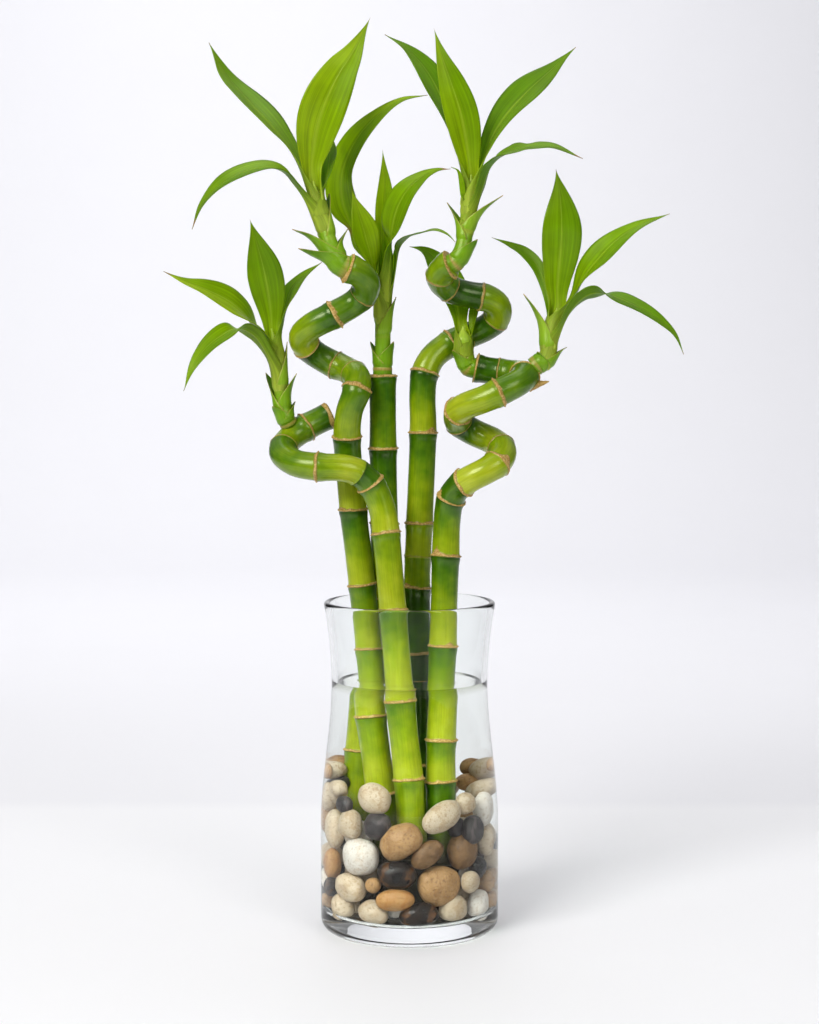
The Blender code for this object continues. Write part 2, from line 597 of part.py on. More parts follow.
def main():
    clear_scene()
    parts = new_collection("lucky_bamboo")
    cutters = new_collection("cutters")
    make_vase(parts)
    make_plants(parts)
    cane_cutters = {}
    for name in CANES:
        room = add_object(name + "_room", cane_mesh(name, extra=GAP + 0.1), None, cutters)
        cane_cutters[name] = as_cutter(room)
    make_water(parts, cane_cutters)
    make_pebbles(parts, cutters, cane_cutters)


main()
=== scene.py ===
# Lucky bamboo standing in a glass vase of water and pebbles, on a white table.
# Everything is in metres around the middle of the vase's foot; lengths in the settings are millimetres.
import math
import random

import bmesh
import bpy
import numpy as np
from mathutils import Matrix, Vector, noise


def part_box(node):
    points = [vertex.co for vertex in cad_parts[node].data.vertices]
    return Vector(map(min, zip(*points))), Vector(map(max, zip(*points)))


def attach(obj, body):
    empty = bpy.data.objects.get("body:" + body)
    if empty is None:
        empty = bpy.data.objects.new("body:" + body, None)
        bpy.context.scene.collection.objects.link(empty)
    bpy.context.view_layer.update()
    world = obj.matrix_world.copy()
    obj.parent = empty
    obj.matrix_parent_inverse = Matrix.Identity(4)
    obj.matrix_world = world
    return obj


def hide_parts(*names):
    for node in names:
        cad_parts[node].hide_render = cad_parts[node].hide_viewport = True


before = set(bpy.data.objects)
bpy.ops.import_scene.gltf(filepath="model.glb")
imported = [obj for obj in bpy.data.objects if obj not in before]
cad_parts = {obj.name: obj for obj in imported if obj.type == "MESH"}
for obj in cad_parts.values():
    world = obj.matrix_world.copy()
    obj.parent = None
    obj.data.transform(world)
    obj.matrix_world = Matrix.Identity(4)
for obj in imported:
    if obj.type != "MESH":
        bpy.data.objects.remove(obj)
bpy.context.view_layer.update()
mm = 0.001
print("frame loaded:", len(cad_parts), "nodes")


def hexColor(code):
    # sRGB hex to the linear values that shaders take
    channels = [int(code[i:i + 2], 16) / 255 for i in (1, 3, 5)]
    return (*[c / 12.92 if c <= 0.04045 else ((c + 0.055) / 1.055) ** 2.4 for c in channels], 1.0)


def setInputs(tree, node, inputs):
    # an input is a link, a hex color or a plain value
    for key, value in inputs.items():
        if isinstance(value, bpy.types.NodeSocket):
            tree.links.new(value, node.inputs[key])
        else:
            node.inputs[key].default_value = hexColor(value) if isinstance(value, str) else value


def addNode(tree, kind, inputs=None, stops=(), out=0, **settings):
    # adds a node with its properties, inputs and color ramp stops, and gives back one of its outputs
    node = tree.nodes.new("ShaderNode" + kind)
    for key, value in settings.items():
        setattr(node, key, value)
    setInputs(tree, node, inputs or {})
    if stops:
        ramp = node.color_ramp.elements
        while len(ramp) < len(stops):
            ramp.new(0.5)
        for element, (place, color) in zip(ramp, stops):
            element.position = place
            element.color = hexColor(color) if isinstance(color, str) else (color, color, color, 1)
    return node.outputs[out]


def newMaterial(name):
    material = bpy.data.materials.new(name)
    material.use_nodes = True
    tree = material.node_tree
    return material, tree, tree.nodes["Principled BSDF"]


def clamp(x):
    return min(max(x, 0.0), 1.0)


def smoothStep(low, high, x):
    t = clamp((x - low) / (high - low))
    return t * t * (3 - 2 * t)


def roundNoise(turn, size, third):
    # noise that closes on itself around a stem
    return noise.noise(Vector((math.cos(turn) * size, math.sin(turn) * size, third)))


def smoothRoute(points, perSpan=16):
    # a soft line through the points, in millimetres
    knots = [Vector(p) for p in points]
    knots = [2 * knots[0] - knots[1], *knots, 2 * knots[-1] - knots[-2]]
    line = []
    for a, b, c, d in zip(knots, knots[1:], knots[2:], knots[3:]):
        for step in range(perSpan):
            t = step / perSpan
            line.append(0.5 * (2 * b + (c - a) * t + (2 * a - 5 * b + 4 * c - d) * t * t
                               + (3 * b - a - 3 * c + d) * t ** 3))
    return line + [knots[-2]]


class Route:
    # a line that can be asked for its place, heading and turned frame at any distance along it
    def __init__(self, points):
        self.line = smoothRoute(points)
        steps = [(b - a).length for a, b in zip(self.line, self.line[1:])]
        self.marks = np.concatenate([[0.0], np.cumsum(steps)])
        self.length = float(self.marks[-1])
        self.coords = np.array(self.line)
        last = len(self.line) - 1
        self.headings = [(self.line[min(i + 1, last)] - self.line[max(i - 1, 0)]).normalized()
                         for i in range(last + 1)]
        side = self.headings[0].cross(Vector((0, 1, 0))).normalized()
        self.sides = []
        for heading in self.headings:  # carried along without twisting
            side = (side - heading * side.dot(heading)).normalized()
            self.sides.append(side)

    def at(self, distance):
        return Vector([np.interp(distance, self.marks, self.coords[:, axis]) for axis in range(3)])

    def frameAt(self, distance):
        index = int(np.clip(np.searchsorted(self.marks, distance), 1, len(self.line) - 1))
        share = clamp((distance - self.marks[index - 1]) / (self.marks[index] - self.marks[index - 1]))
        heading = self.headings[index - 1].lerp(self.headings[index], share).normalized()
        side = self.sides[index - 1].lerp(self.sides[index], share)
        side = (side - heading * side.dot(heading)).normalized()
        return self.at(distance), heading, side, heading.cross(side)

    def nearest(self, place):
        return float(self.marks[int(np.argmin(np.linalg.norm(self.coords - np.array(place), axis=1)))])


def gridSheet(columns, rows, placeOf, closed=False):
    # a grid of cells moved onto a shape: placeOf(across, along, row) gives a point and its layer values
    sheet = bmesh.new()
    sheet.loops.layers.uv.new("UVMap")
    bmesh.ops.create_grid(sheet, x_segments=columns, y_segments=rows, size=0.5, calc_uvs=True)
    kinds = sheet.verts.layers
    layers = {key: (kinds.float_vector if key == "skin" else kinds.float).new(key)
              for key in placeOf(0.0, 0.0, 0)[1]}
    for vert in sheet.verts:
        across, along = vert.co.x + 0.5, vert.co.y + 0.5
        place, values = placeOf(across, along, round(along * rows))
        vert.co = place * mm
        for key, value in values.items():
            vert[layers[key]] = value
    if closed:
        bmesh.ops.remove_doubles(sheet, verts=sheet.verts, dist=1e-6)
        bmesh.ops.recalc_face_normals(sheet, faces=sheet.faces)
    return sheet


def newObject(name, shape, materials):
    mesh = bpy.data.meshes.new(name)
    shape.to_mesh(mesh)
    shape.free()
    for material in materials:
        mesh.materials.append(material)
    mesh.shade_smooth()
    made = bpy.data.objects.new(name, mesh)
    bpy.context.scene.collection.objects.link(made)
    return made


def addPiece(name, shape, materials, slot, *replaces):
    piece = newObject(name, shape, materials)
    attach(piece, "root")
    if replaces:
        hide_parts(*replaces)
    return piece


def thicken(piece, thickness, offset):
    skin = piece.modifiers.new("thickness", "SOLIDIFY")
    skin.thickness = thickness * mm
    skin.offset = offset
    return skin


def growStem(name, slot, node, skin, route, stations, sides, ringAt):
    # a closed skin around a route: ringAt(turn, distance, center) gives its radius there and its layer values
    frames = [route.frameAt(distance) for distance in stations]
    rows = len(stations) + 1

    def placeOf(across, along, row):
        turn = across * 2 * math.pi
        index = min(max(row - 1, 0), len(stations) - 1)
        center, _, side, other = frames[index]
        reach, values = ringAt(turn, stations[index], center)
        if row in (0, rows):
            reach = 0.0
        return center + (side * math.cos(turn) + other * math.sin(turn)) * reach, values

    return addPiece(name, gridSheet(sides, rows, placeOf, closed=True), [skin], slot, node)


# the stage: camera, table and light
view = {"place": (0.0, -0.984, 0.2609), "tiltDown": 4.217, "lens": 77.7, "sensor": 36, "farthest": 20}
table = {"nearColor": "#f6f6f9", "farColor": "#f1f1f5", "edge": 0.268, "softness": 0.012, "wallAt": 2.5,
         "wallCurve": 0.9, "curveSteps": 12, "halfWidth": 1.15, "front": -0.75, "wallTop": 1.7, "gap": 0.0002}
lights = {
    "window": {"place": (-0.95, -1.35, 1.25), "aim": (0, 0, 0.2), "size": 0.9, "watts": 31, "color": "#fffefb"},
    "fill": {"place": (0.9, -1.5, 1.0), "aim": (0, 0, 0.2), "size": 0.8, "watts": 9.5, "color": "#fffefb"},
    "top": {"place": (0.0, 0.2, 1.9), "aim": (0, 0.1, 0), "size": 1.3, "watts": 8.5, "color": "#ffffff"},
    "backdrop": {"place": (-0.42, 1.0, 1.7), "aim": (0.18, 2.5, 0.8), "size": 1.2, "watts": 22.5,
                 "color": "#fdfdff"},
}
sky = {"overhead": "#f6f6f8", "level": "#88898c", "behindCamera": 0.22, "fade": (-0.9, -0.2), "strength": 0.36}


def makeCamera():
    camera = bpy.data.objects.new("camera", bpy.data.cameras.new("camera"))
    camera.location = view["place"]
    camera.rotation_euler = (math.radians(90 - view["tiltDown"]), 0, 0)
    camera.data.lens = view["lens"]
    camera.data.sensor_width = view["sensor"]
    camera.data.clip_end = view["farthest"]
    bpy.context.scene.collection.objects.link(camera)
    bpy.context.scene.camera = camera


def paintedTable():
    # matt white paint; beyond the table's far edge the same sheet is a slightly greyer backdrop
    material, tree, shader = newMaterial("mattWhitePaint")
    place = addNode(tree, "TexCoord", out="Object")
    depth = addNode(tree, "SeparateXYZ", {0: place}, out="Y")
    beyond = addNode(tree, "MapRange", {"Value": depth, "From Min": table["edge"] - table["softness"],
                                        "From Max": table["edge"] + table["softness"]})
    color = addNode(tree, "MixRGB", {0: beyond, 1: table["nearColor"], 2: table["farColor"]})
    patch = addNode(tree, "TexNoise", {"Vector": place, "Scale": 9.0, "Detail": 3.0})
    patch = addNode(tree, "MapRange", {"Value": patch, "To Min": 0.985, "To Max": 1.0})
    color = addNode(tree, "MixRGB", {0: 1.0, 1: color, 2: patch}, blend_type="MULTIPLY")
    setInputs(tree, shader, {"Base Color": color, "Roughness": 0.6, "Specular IOR Level": 0.25})
    return material


def makeTable():
    shape = bmesh.new()
    curve, steps, half = table["wallCurve"], table["curveSteps"], table["halfWidth"]
    profile = [(table["front"], 0.0)]
    for step in range(steps + 1):
        turn = math.pi / 2 * step / steps
        profile.append((table["wallAt"] - curve + curve * math.sin(turn), curve - curve * math.cos(turn)))
    profile.append((table["wallAt"], table["wallTop"]))
    verts = [shape.verts.new((half, y, z)) for y, z in profile]
    edges = [shape.edges.new(pair) for pair in zip(verts, verts[1:])]
    swept = bmesh.ops.extrude_edge_only(shape, edges=edges)["geom"]
    moved = [item for item in swept if isinstance(item, bmesh.types.BMVert)]
    bmesh.ops.translate(shape, verts=moved, vec=(-2 * half, 0, 0))
    bmesh.ops.recalc_face_normals(shape, faces=shape.faces)
    sheet = newObject("table", shape, [paintedTable()])
    sheet.location.z = -table["gap"]


def makeLights():
    for name, spec in lights.items():
        lamp = bpy.data.lights.new(name, "AREA")
        lamp.size = spec["size"]
        lamp.energy = spec["watts"]
        lamp.color = hexColor(spec["color"])[:3]
        holder = bpy.data.objects.new(name, lamp)
        holder.location = spec["place"]
        aim = Vector(spec["aim"]) - Vector(spec["place"])
        holder.rotation_euler = aim.to_track_quat("-Z", "Y").to_euler()
        bpy.context.scene.collection.objects.link(holder)
    world = bpy.data.worlds.new("studio")
    bpy.context.scene.world = world
    world.use_nodes = True
    tree = world.node_tree
    ray = addNode(tree, "TexCoord", out="Generated")
    height = addNode(tree, "SeparateXYZ", {0: ray}, out="Z")
    glow = addNode(tree, "ValToRGB", {0: height}, [(0.1, sky["level"]), (0.6, sky["overhead"])])
    depth = addNode(tree, "SeparateXYZ", {0: ray}, out="Y")
    front = addNode(tree, "MapRange", {"Value": depth, "From Min": sky["fade"][0], "From Max": sky["fade"][1],
                                       "To Min": sky["behindCamera"]})
    glow = addNode(tree, "MixRGB", {0: 1.0, 1: glow, 2: front}, blend_type="MULTIPLY")
    setInputs(tree, tree.nodes["Background"], {"Color": glow, "Strength": sky["strength"]})


makeCamera()
makeTable()
makeLights()
bpy.context.scene.view_settings.view_transform = "Standard"
print("stage set")


# the vase; what is above waistHeight flares out to the rim
vase = {"height": 148.5, "footRadius": 40.0, "waistDrop": 5.0, "waistFrom": 48.0, "waistHeight": 112.0,
        "rimFlare": 3.6, "wall": 2.7, "floor": 8.5, "footCorner": 5.5, "innerCorner": 5.0, "steps": 128}


def outerRadius(z):
    t = min(max((z - vase["waistFrom"]) / (vase["waistHeight"] - vase["waistFrom"]), 0.0), 1.0)
    flare = max(z - vase["waistHeight"], 0.0) / (vase["height"] - vase["waistHeight"])
    return vase["footRadius"] - vase["waistDrop"] * t * t * (3 - 2 * t) + vase["rimFlare"] * flare ** 1.8


def boreRadius(z):
    corner = vase["innerCorner"]
    rise = min(max(z - vase["floor"], 0.0), corner)
    return outerRadius(z) - vase["wall"] - corner + math.sqrt(corner ** 2 - (corner - rise) ** 2)


def arcPoints(centerR, centerZ, radius, start, end, steps):
    turns = [math.radians(start + (end - start) * i / steps) for i in range(steps + 1)]
    return [(centerR + radius * math.cos(a), centerZ + radius * math.sin(a)) for a in turns]


def spinProfile(profile, steps):
    # turns a half section about Z into a closed skin
    shape = bmesh.new()
    verts = [shape.verts.new((r * mm, 0, z * mm)) for r, z in profile]
    edges = [shape.edges.new(pair) for pair in zip(verts, verts[1:])]
    bmesh.ops.spin(shape, geom=verts + edges, cent=(0, 0, 0), axis=(0, 0, 1), angle=2 * math.pi,
                   steps=steps, use_merge=True)
    bmesh.ops.remove_doubles(shape, verts=shape.verts, dist=1e-6)
    bmesh.ops.recalc_face_normals(shape, faces=shape.faces)
    return shape


def clearThing(name, lampTint, inputs):
    # clear things throw only a faint shadow: rays that look for lamps pass with a tint
    material, tree, shader = newMaterial(name)
    setInputs(tree, shader, {"Roughness": 0.0, "Transmission Weight": 1.0, **inputs})
    lampRay = addNode(tree, "LightPath", out="Is Shadow Ray")
    clear = addNode(tree, "BsdfTransparent", {"Color": lampTint})
    both = addNode(tree, "MixShader", {0: lampRay, 1: shader.outputs[0], 2: clear})
    setInputs(tree, tree.nodes["Material Output"], {"Surface": both})
    return material, tree, shader


def blownSodaGlass():
    # colorless soda-lime glass, blown and fire polished: no grain, and the dark room gives it little to mirror
    return clearThing("blownSodaGlass", "#f1f4f3",
                      {"Base Color": "#fbfdfc", "IOR": 1.34, "Specular Tint": "#a4a4a4"})[0]


def makeVase():
    lip = vase["wall"] / 2
    lipZ = vase["height"] - lip
    bottom, floorR = vase["floor"] + vase["innerCorner"], boreRadius(vase["floor"])
    heights = [bottom + (lipZ - bottom) * i / 48 for i in range(49)]
    inside = [(0.0, vase["floor"])] + [(floorR * i / 6, vase["floor"]) for i in range(1, 6)]
    inside += arcPoints(floorR, bottom, vase["innerCorner"], -90, 0, 10)[:-1]
    inside += [(boreRadius(z), z) for z in heights]
    rim = arcPoints(outerRadius(lipZ) - lip, lipZ, lip, 180, 0, 10)[1:]
    outside = [(outerRadius(z), z) for z in heights[::-1][1:-1]]
    corner = vase["footCorner"]
    foot = arcPoints(vase["footRadius"] - corner, corner, corner, 0, -90, 12)
    flat = [((vase["footRadius"] - corner) * i / 5, 0.0) for i in (4, 3, 2, 1)] + [(0.0, 0.0)]
    shape = spinProfile(inside + rim + outside + foot + flat, vase["steps"])
    addPiece("vaseGlass", shape, [blownSodaGlass()], "glass", "glass_vase")


makeVase()
print("vase blown")


# canes: route in millimetres from the foot up; scars are (distance along, strength) of the leaf scars;
# the greens are (foot, top) of each internode from the ground up: 0 is yellow-green, 1 is dark green;
# besides the cane's own green they hold painted shade and light: internodes at the back of a coil or behind other
# canes are painted darker, lit ones lighter
canes = {
    "left": {
        "route": [(-7.0, -4.5, 10.2), (-12.0, -2.0, 65), (-15.5, 0, 97), (-18.2, 2, 126.5), (-21.3, 4, 155),
                  (-25.3, 5, 189), (-27.1, 5, 208), (-27.9, 3, 222), (-26.8, 0, 233), (-23.8, -1.5, 241.5),
                  (-23.2, 3, 247.8), (-27.5, 10.5, 251.2), (-35.4, 14.5, 254.6), (-44.0, 11.5, 260.0),
                  (-47.9, 4.5, 266), (-43.2, -1.5, 271), (-33.5, -3.5, 276), (-25.2, -2.5, 280.7),
                  (-20.2, -4.5, 285), (-18.9, -9.5, 290), (-22.3, -13.5, 294), (-27.7, -15.2, 296.4)],
        "scars": [(22, 1), (52, 1), (87, 1), (117, 1), (146, 1), (180, 1), (213, 1), (235.4, 1), (246.5, 0.3),
                  (258.5, 0.7), (275.6, 0.6), (302.6, 1.1), (318, 0.35), (338, 1.2)],
        "greensWithPaintedShade": [(0.1, 0.7), (0.1, 0.7), (0.05, 0.6), (0.05, 0.6), (0.1, 0.8), (0.1, 1.0), (0.1, 1.0),
                   (0.25, 0.7), (0.6, 0.6), (0.5, 0.6), (0.6, 1.05), (0.22, 1.0), (0.65, 0.9), (0.75, 0.6),
                   (0.2, 0.3)],
        "seed": 3},
    "front": {
        "route": [(4.4, -18.8, 10.3), (2.4, -17.3, 33), (0.6, -16, 54), (-0.5, -15, 72), (-3.8, -13, 105),
                  (-7.3, -11, 145), (-10.4, -9, 179), (-12.4, -8.2, 191), (-16.3, -8.4, 200), (-21.8, -11, 206),
                  (-29.0, -13.5, 208.8), (-40.2, -14, 209.3), (-50.3, -10, 210.8), (-56.3, -1.5, 214.8),
                  (-54.3, 7, 220), (-47.2, 11, 225.4), (-40.3, 13, 229), (-35.4, 14, 231.2)],
        "scars": [(26, 1), (60.5, 1), (95.5, 1), (135.8, 1), (170, 1), (193.5, 1), (201.5, 0), (219.8, 1),
                  (247, 0.4), (263.2, 1.1), (275.2, 0.2)],
        "greensWithPaintedShade": [(0.2, 0.7), (0.15, 0.6), (0.05, 0.65), (0.05, 0.75), (0.0, 0.55), (0.1, 0.8), (0.6, 0.9),
                   (0.0, 0.55), (0.45, 0.7), (0.45, 0.75), (0.5, 0.9), (0.6, 0.8)],
        "seed": 8, "dryEnd": 1.8},
    "middle": {
        "route": [(-23.0, 15, 10.4), (-19.6, 15.5, 64), (-17.6, 16, 92), (-15.7, 16, 120), (-13.4, 15, 147),
                  (-11.4, 13, 182), (-11.9, 12, 216), (-12.1, 12, 249.6)],
        "scars": [(35, 1), (68, 1), (103, 1), (138, 1), (172.1, 1), (206.1, 1), (238.6, 1)],
        "greensWithPaintedShade": [(0.1, 0.7), (0.05, 0.5), (0.1, 0.6), (0.2, 0.8), (0.3, 0.9), (0.45, 0.95), (0.5, 0.8),
                   (0.4, 0.6)],
        "seed": 5},
    "back": {
        "route": [(3.4, 10, 10.2), (3.6, 10, 56), (4.0, 10.6, 108), (3.9, 11, 123), (3.4, 12, 153), (4.5, 13, 182),
                  (6.1, 14, 223), (5.8, 14.3, 239), (6.9, 15, 250), (10.8, 17, 257.5), (18.0, 19.8, 263),
                  (26.5, 20.5, 267), (34.6, 19, 270.6), (39.3, 15.5, 274.8), (39.6, 10.5, 279.8),
                  (35.1, 7.5, 283.3), (27.0, 6, 285), (19.3, 4, 287), (14.2, -0.2, 290.4), (13.6, -5.5, 294.2),
                  (15.9, -8.2, 296.8), (18.4, -9.3, 298.2)],
        "scars": [(30, 1), (63, 1), (97.9, 1), (112.9, 0.9), (142.9, 1), (156.8, 0.12), (172, 1), (213, 1),
                  (240, 1), (259.2, 1), (283, 0.35), (301, 0.5), (316, 0.35), (327, 0.4), (335.4, 1.1)],
        "greensWithPaintedShade": [(0.4, 1.0), (0.5, 1.0), (0.9, 1.1), (1.0, 1.1), (0.8, 1.05), (0.4, 0.55), (0.2, 0.6),
                   (0.2, 0.85), (0.15, 1.0), (0.3, 0.7), (0.6, 0.8), (0.45, 0.65), (0.9, 0.85), (0.75, 0.65),
                   (0.55, 0.7), (0.5, 0.5)],
        "seed": 12},
    "right": {
        "route": [(13.8, -8.9, 10.2), (12.9, -9, 58), (12.9, -8, 87), (14.8, -6, 129), (16.1, -5, 169),
                  (16.7, -5, 185), (18.0, -6, 193.5), (21.2, -9, 199.6), (26.8, -12.8, 204), (33.2, -14, 207.3),
                  (39.0, -11, 211), (41.5, -3.5, 215.6), (37.4, 4.8, 219.8), (28.7, 8.2, 223.7), (22.3, 5.2, 227.9),
                  (21.3, -2, 232.4), (24.9, -9, 235.9), (33.4, -13, 239.2), (41.4, -13.2, 242.9),
                  (47.8, -10.6, 246.2), (51.0, -4.2, 249.2), (49.3, 3.2, 249.9), (43.5, 7.6, 250.2),
                  (36.1, 9.2, 251.2), (29.2, 9.2, 252.4)],
        "scars": [(22, 1), (58.4, 1), (76.8, 1), (118.9, 1), (159, 1), (185, 1), (195.5, 1), (213, 0.9), (227, 0.5),
                  (252.7, 0.4), (263.5, 1), (286.2, 1.1), (303.4, 1.1), (323.1, 0.5), (333.8, 1.1)],
        "greensWithPaintedShade": [(0.3, 0.8), (0.35, 0.8), (0.15, 0.75), (0.0, 0.8), (0.05, 0.95), (0.2, 0.9), (0.75, 0.8),
                   (-0.05, 0.3), (0.35, 0.5), (0.15, 1.0), (0.5, 0.5), (0.02, 0.5), (0.75, 0.85), (0.3, 0.65),
                   (0.8, 0.95), (0.5, 0.6)],
        "seed": 21},
}
# rings are fineStep apart near a scar and step apart elsewhere; scarProud is how far a scar stands out
caneBuild = {"radius": 6.2, "sides": 40, "step": 1.8, "fineStep": 0.28, "fineReach": 2.6,
             "scarProud": 0.55, "shoulder": 0.3, "endRound": 0.8}
caneRoutes = {name: Route(spec["route"]) for name, spec in canes.items()}


def livingCaneSkin():
    # living cane: waxy, smooth epidermis; each internode is dark green at its top and yellow-green at its foot, and
    # its green also carries painted shade and light
    material, tree, shader = newMaterial("livingCaneSkin")
    internode, tone, scar, paintedShadeAmongStones = [addNode(tree, "Attribute", attribute_name=name, out="Fac")
                                     for name in ("internode", "tone", "scar", "paintedShadeAmongStones")]
    skin = addNode(tree, "Attribute", attribute_name="skin", out="Vector")
    # blotches about 6 mm across and streaks about 0.5 mm wide and 12 mm long; skin is in millimetres
    blotch = addNode(tree, "TexNoise", {"Vector": skin, "Scale": 0.16, "Detail": 2.0})
    blotch = addNode(tree, "Math", {0: blotch, 1: 0.5, 2: -0.25}, operation="MULTIPLY_ADD")
    stretched = addNode(tree, "Mapping", {0: skin, "Scale": (1.6, 1.6, 0.08)})
    streak = addNode(tree, "TexNoise", {"Vector": stretched, "Scale": 1.0, "Detail": 4.0})
    # painted shade and light: the internode value also paints shaded internodes darker and lit ones lighter
    shade = addNode(tree, "Math", {0: internode, 1: blotch}, operation="ADD")
    shade = addNode(tree, "Math", {0: tone, 1: -0.3, 2: shade}, operation="MULTIPLY_ADD")
    shade = addNode(tree, "MapRange", {"Value": shade, "To Min": 0.13})
    green = addNode(tree, "ValToRGB", {0: shade}, [(0.0, "#b6c23c"), (0.22, "#a3b01c"), (0.45, "#859d08"),
                                                   (0.7, "#567b02"), (0.88, "#345f00"), (1.0, "#234600")])
    streaks = addNode(tree, "MapRange", {"Value": streak, "From Min": 0.3, "From Max": 0.7,
                                         "To Min": 0.86, "To Max": 1.1})
    green = addNode(tree, "MixRGB", {0: 1.0, 1: green, 2: streaks}, blend_type="MULTIPLY")
    # the scars: dry, corky tan with darker brown crests
    crumb = addNode(tree, "TexNoise", {"Vector": skin, "Scale": 1.7, "Detail": 5.0})
    cork = addNode(tree, "ValToRGB", {0: crumb}, [(0.3, "#8a6630"), (0.5, "#b8944e"), (0.72, "#d8be84")])
    around = addNode(tree, "ValToRGB", {0: scar}, [(0.05, 0.0), (0.4, 1.0)])
    color = addNode(tree, "MixRGB", {0: around, 1: green, 2: "#8d7a32"})
    inside = addNode(tree, "ValToRGB", {0: scar}, [(0.4, 0.0), (0.8, 1.0)])
    color = addNode(tree, "MixRGB", {0: inside, 1: color, 2: cork})
    # painted shade: the foot down among the stones is painted dark brown, like the shadowed gaps between the stones
    color = addNode(tree, "MixRGB", {0: paintedShadeAmongStones, 1: color, 2: "#2c2412"})
    height = addNode(tree, "Math", {0: crumb, 1: scar}, operation="MULTIPLY")
    height = addNode(tree, "Math", {0: streak, 1: 0.12, 2: height}, operation="MULTIPLY_ADD")
    bump = addNode(tree, "Bump", {"Height": height, "Strength": 0.5, "Distance": 0.0004})
    rough = addNode(tree, "MapRange", {"Value": scar, "To Min": 0.21, "To Max": 0.75})
    setInputs(tree, shader, {
        "Base Color": color, "Roughness": rough, "Normal": bump, "IOR": 1.42, "Specular IOR Level": 0.5,
        "Specular Tint": "#eef5c4", "Coat Weight": 0.3, "Coat Roughness": 0.32, "Subsurface Weight": 0.06,
        "Subsurface Radius": (0.6, 1.0, 0.15), "Subsurface Scale": 0.002})
    return material


def caneStations(route, scars):
    # distances at which the cane gets a ring of points: close together at the scars and ends
    stations = {0.0, 0.25, caneBuild["endRound"], route.length, route.length - 0.25,
                route.length - caneBuild["endRound"]}
    distance = 0.0
    while distance < route.length:
        near = min(abs(distance - scar) for scar, _ in scars)
        stations.add(round(distance, 3))
        distance += caneBuild["fineStep" if near < caneBuild["fineReach"] + 1 else "step"]
    return sorted(stations)


def makeCane(name, skin):
    spec, route = canes[name], caneRoutes[name]
    draw = random.Random(spec["seed"])
    scars, radius, endRound = spec["scars"], caneBuild["radius"], caneBuild["endRound"]
    habits = [{"turn": draw.uniform(0, 6.28), "tilt": draw.uniform(0.0, 0.5), "peak": draw.uniform(0, 6.28),
               "peakRise": draw.uniform(0.3, 2.6), "width": draw.uniform(0.8, 1.25),
               "seed": draw.uniform(0, 90), "tone": draw.uniform(-0.3, 0.3)} for _ in range(len(scars) + 1)]
    marks = [0.0] + [scar for scar, _ in scars] + [route.length]

    def ringAt(turn, distance, center):
        swell, scarShare = 0.0, 0.0
        for (mark, strength), habit in zip(scars, habits):
            offset = distance - mark
            if abs(offset) > 6:
                continue
            jag, fineJag = roundNoise(turn, 2.2, habit["seed"]), roundNoise(turn, 7, habit["seed"])
            low = habit["tilt"] * math.cos(turn - habit["turn"]) + 0.25 * jag
            peak = max(math.cos(turn - habit["peak"]), 0.0) ** 24 * habit["peakRise"] * strength
            high = low + (0.75 * habit["width"] + 0.35 * jag + 0.45 * fineJag + peak) * (0.4 + 0.6 * strength)
            band = smoothStep(low - 0.3, low, offset) * (1 - smoothStep(high - 0.1, high + 0.35, offset))
            scarShare = max(scarShare, band * min(strength + 0.15, 1.0))
            edge = math.exp(-((offset - low - 0.25) / (0.4 + 0.16 * jag)) ** 2)
            swell += strength * caneBuild["scarProud"] * edge * (1 + 0.9 * fineJag)
            swell += strength * caneBuild["shoulder"] * math.exp(-((offset - low + 1.2) / 1.5) ** 2)
            swell += 0.12 * band
        segment = max(i for i, mark in enumerate(marks[:-1]) if mark <= distance + 1e-6)
        share = clamp((distance - marks[segment]) / max(marks[segment + 1] - marks[segment], 1e-6))
        waist = -0.22 * math.sin(math.pi * share)
        lump = 0.12 * roundNoise(turn, 1.3, distance * 0.07 + spec["seed"])
        reach = radius + swell + waist + lump
        fromEnd = min(distance, route.length - distance)
        if fromEnd < endRound:  # a softly broken edge at each cut
            reach -= 0.5 * (1 - fromEnd / endRound) ** 2
        if "dryEnd" in spec:  # an old cut, dried brown
            dryFrom = route.length - spec["dryEnd"]
            scarShare = max(scarShare, smoothStep(dryFrom - 0.4, dryFrom, distance + 0.8 * lump * 8))
        # the internode's own green, with painted shade and light in it
        foot, top = spec["greensWithPaintedShade"][segment]
        shade = foot + (top - foot) * share ** 1.3
        if segment > 0:  # the change of shade at a faint joint is soft
            strength = scars[segment - 1][1]
            blur = 1 - strength if strength < 0.6 else 0.0
            before = spec["greensWithPaintedShade"][segment - 1][1]
            shade += (before - shade) * 0.5 * blur * math.exp(-(distance - marks[segment]) / 1.6)
        # painted shade darkens the foot that stands among the stones
        return reach, {"internode": shade, "scar": scarShare, "tone": habits[segment]["tone"],
                       "paintedShadeAmongStones": 1 - smoothStep(34, 60, center.z),
                       "skin": Vector((radius * math.cos(turn), radius * math.sin(turn), distance))}

    growStem("stem_cane_" + name, "cane", "cane_" + name, skin, route, caneStations(route, scars),
             caneBuild["sides"], ringAt)


caneSkin = livingCaneSkin()
for caneName in canes:
    makeCane(caneName, caneSkin)
print("canes grown")


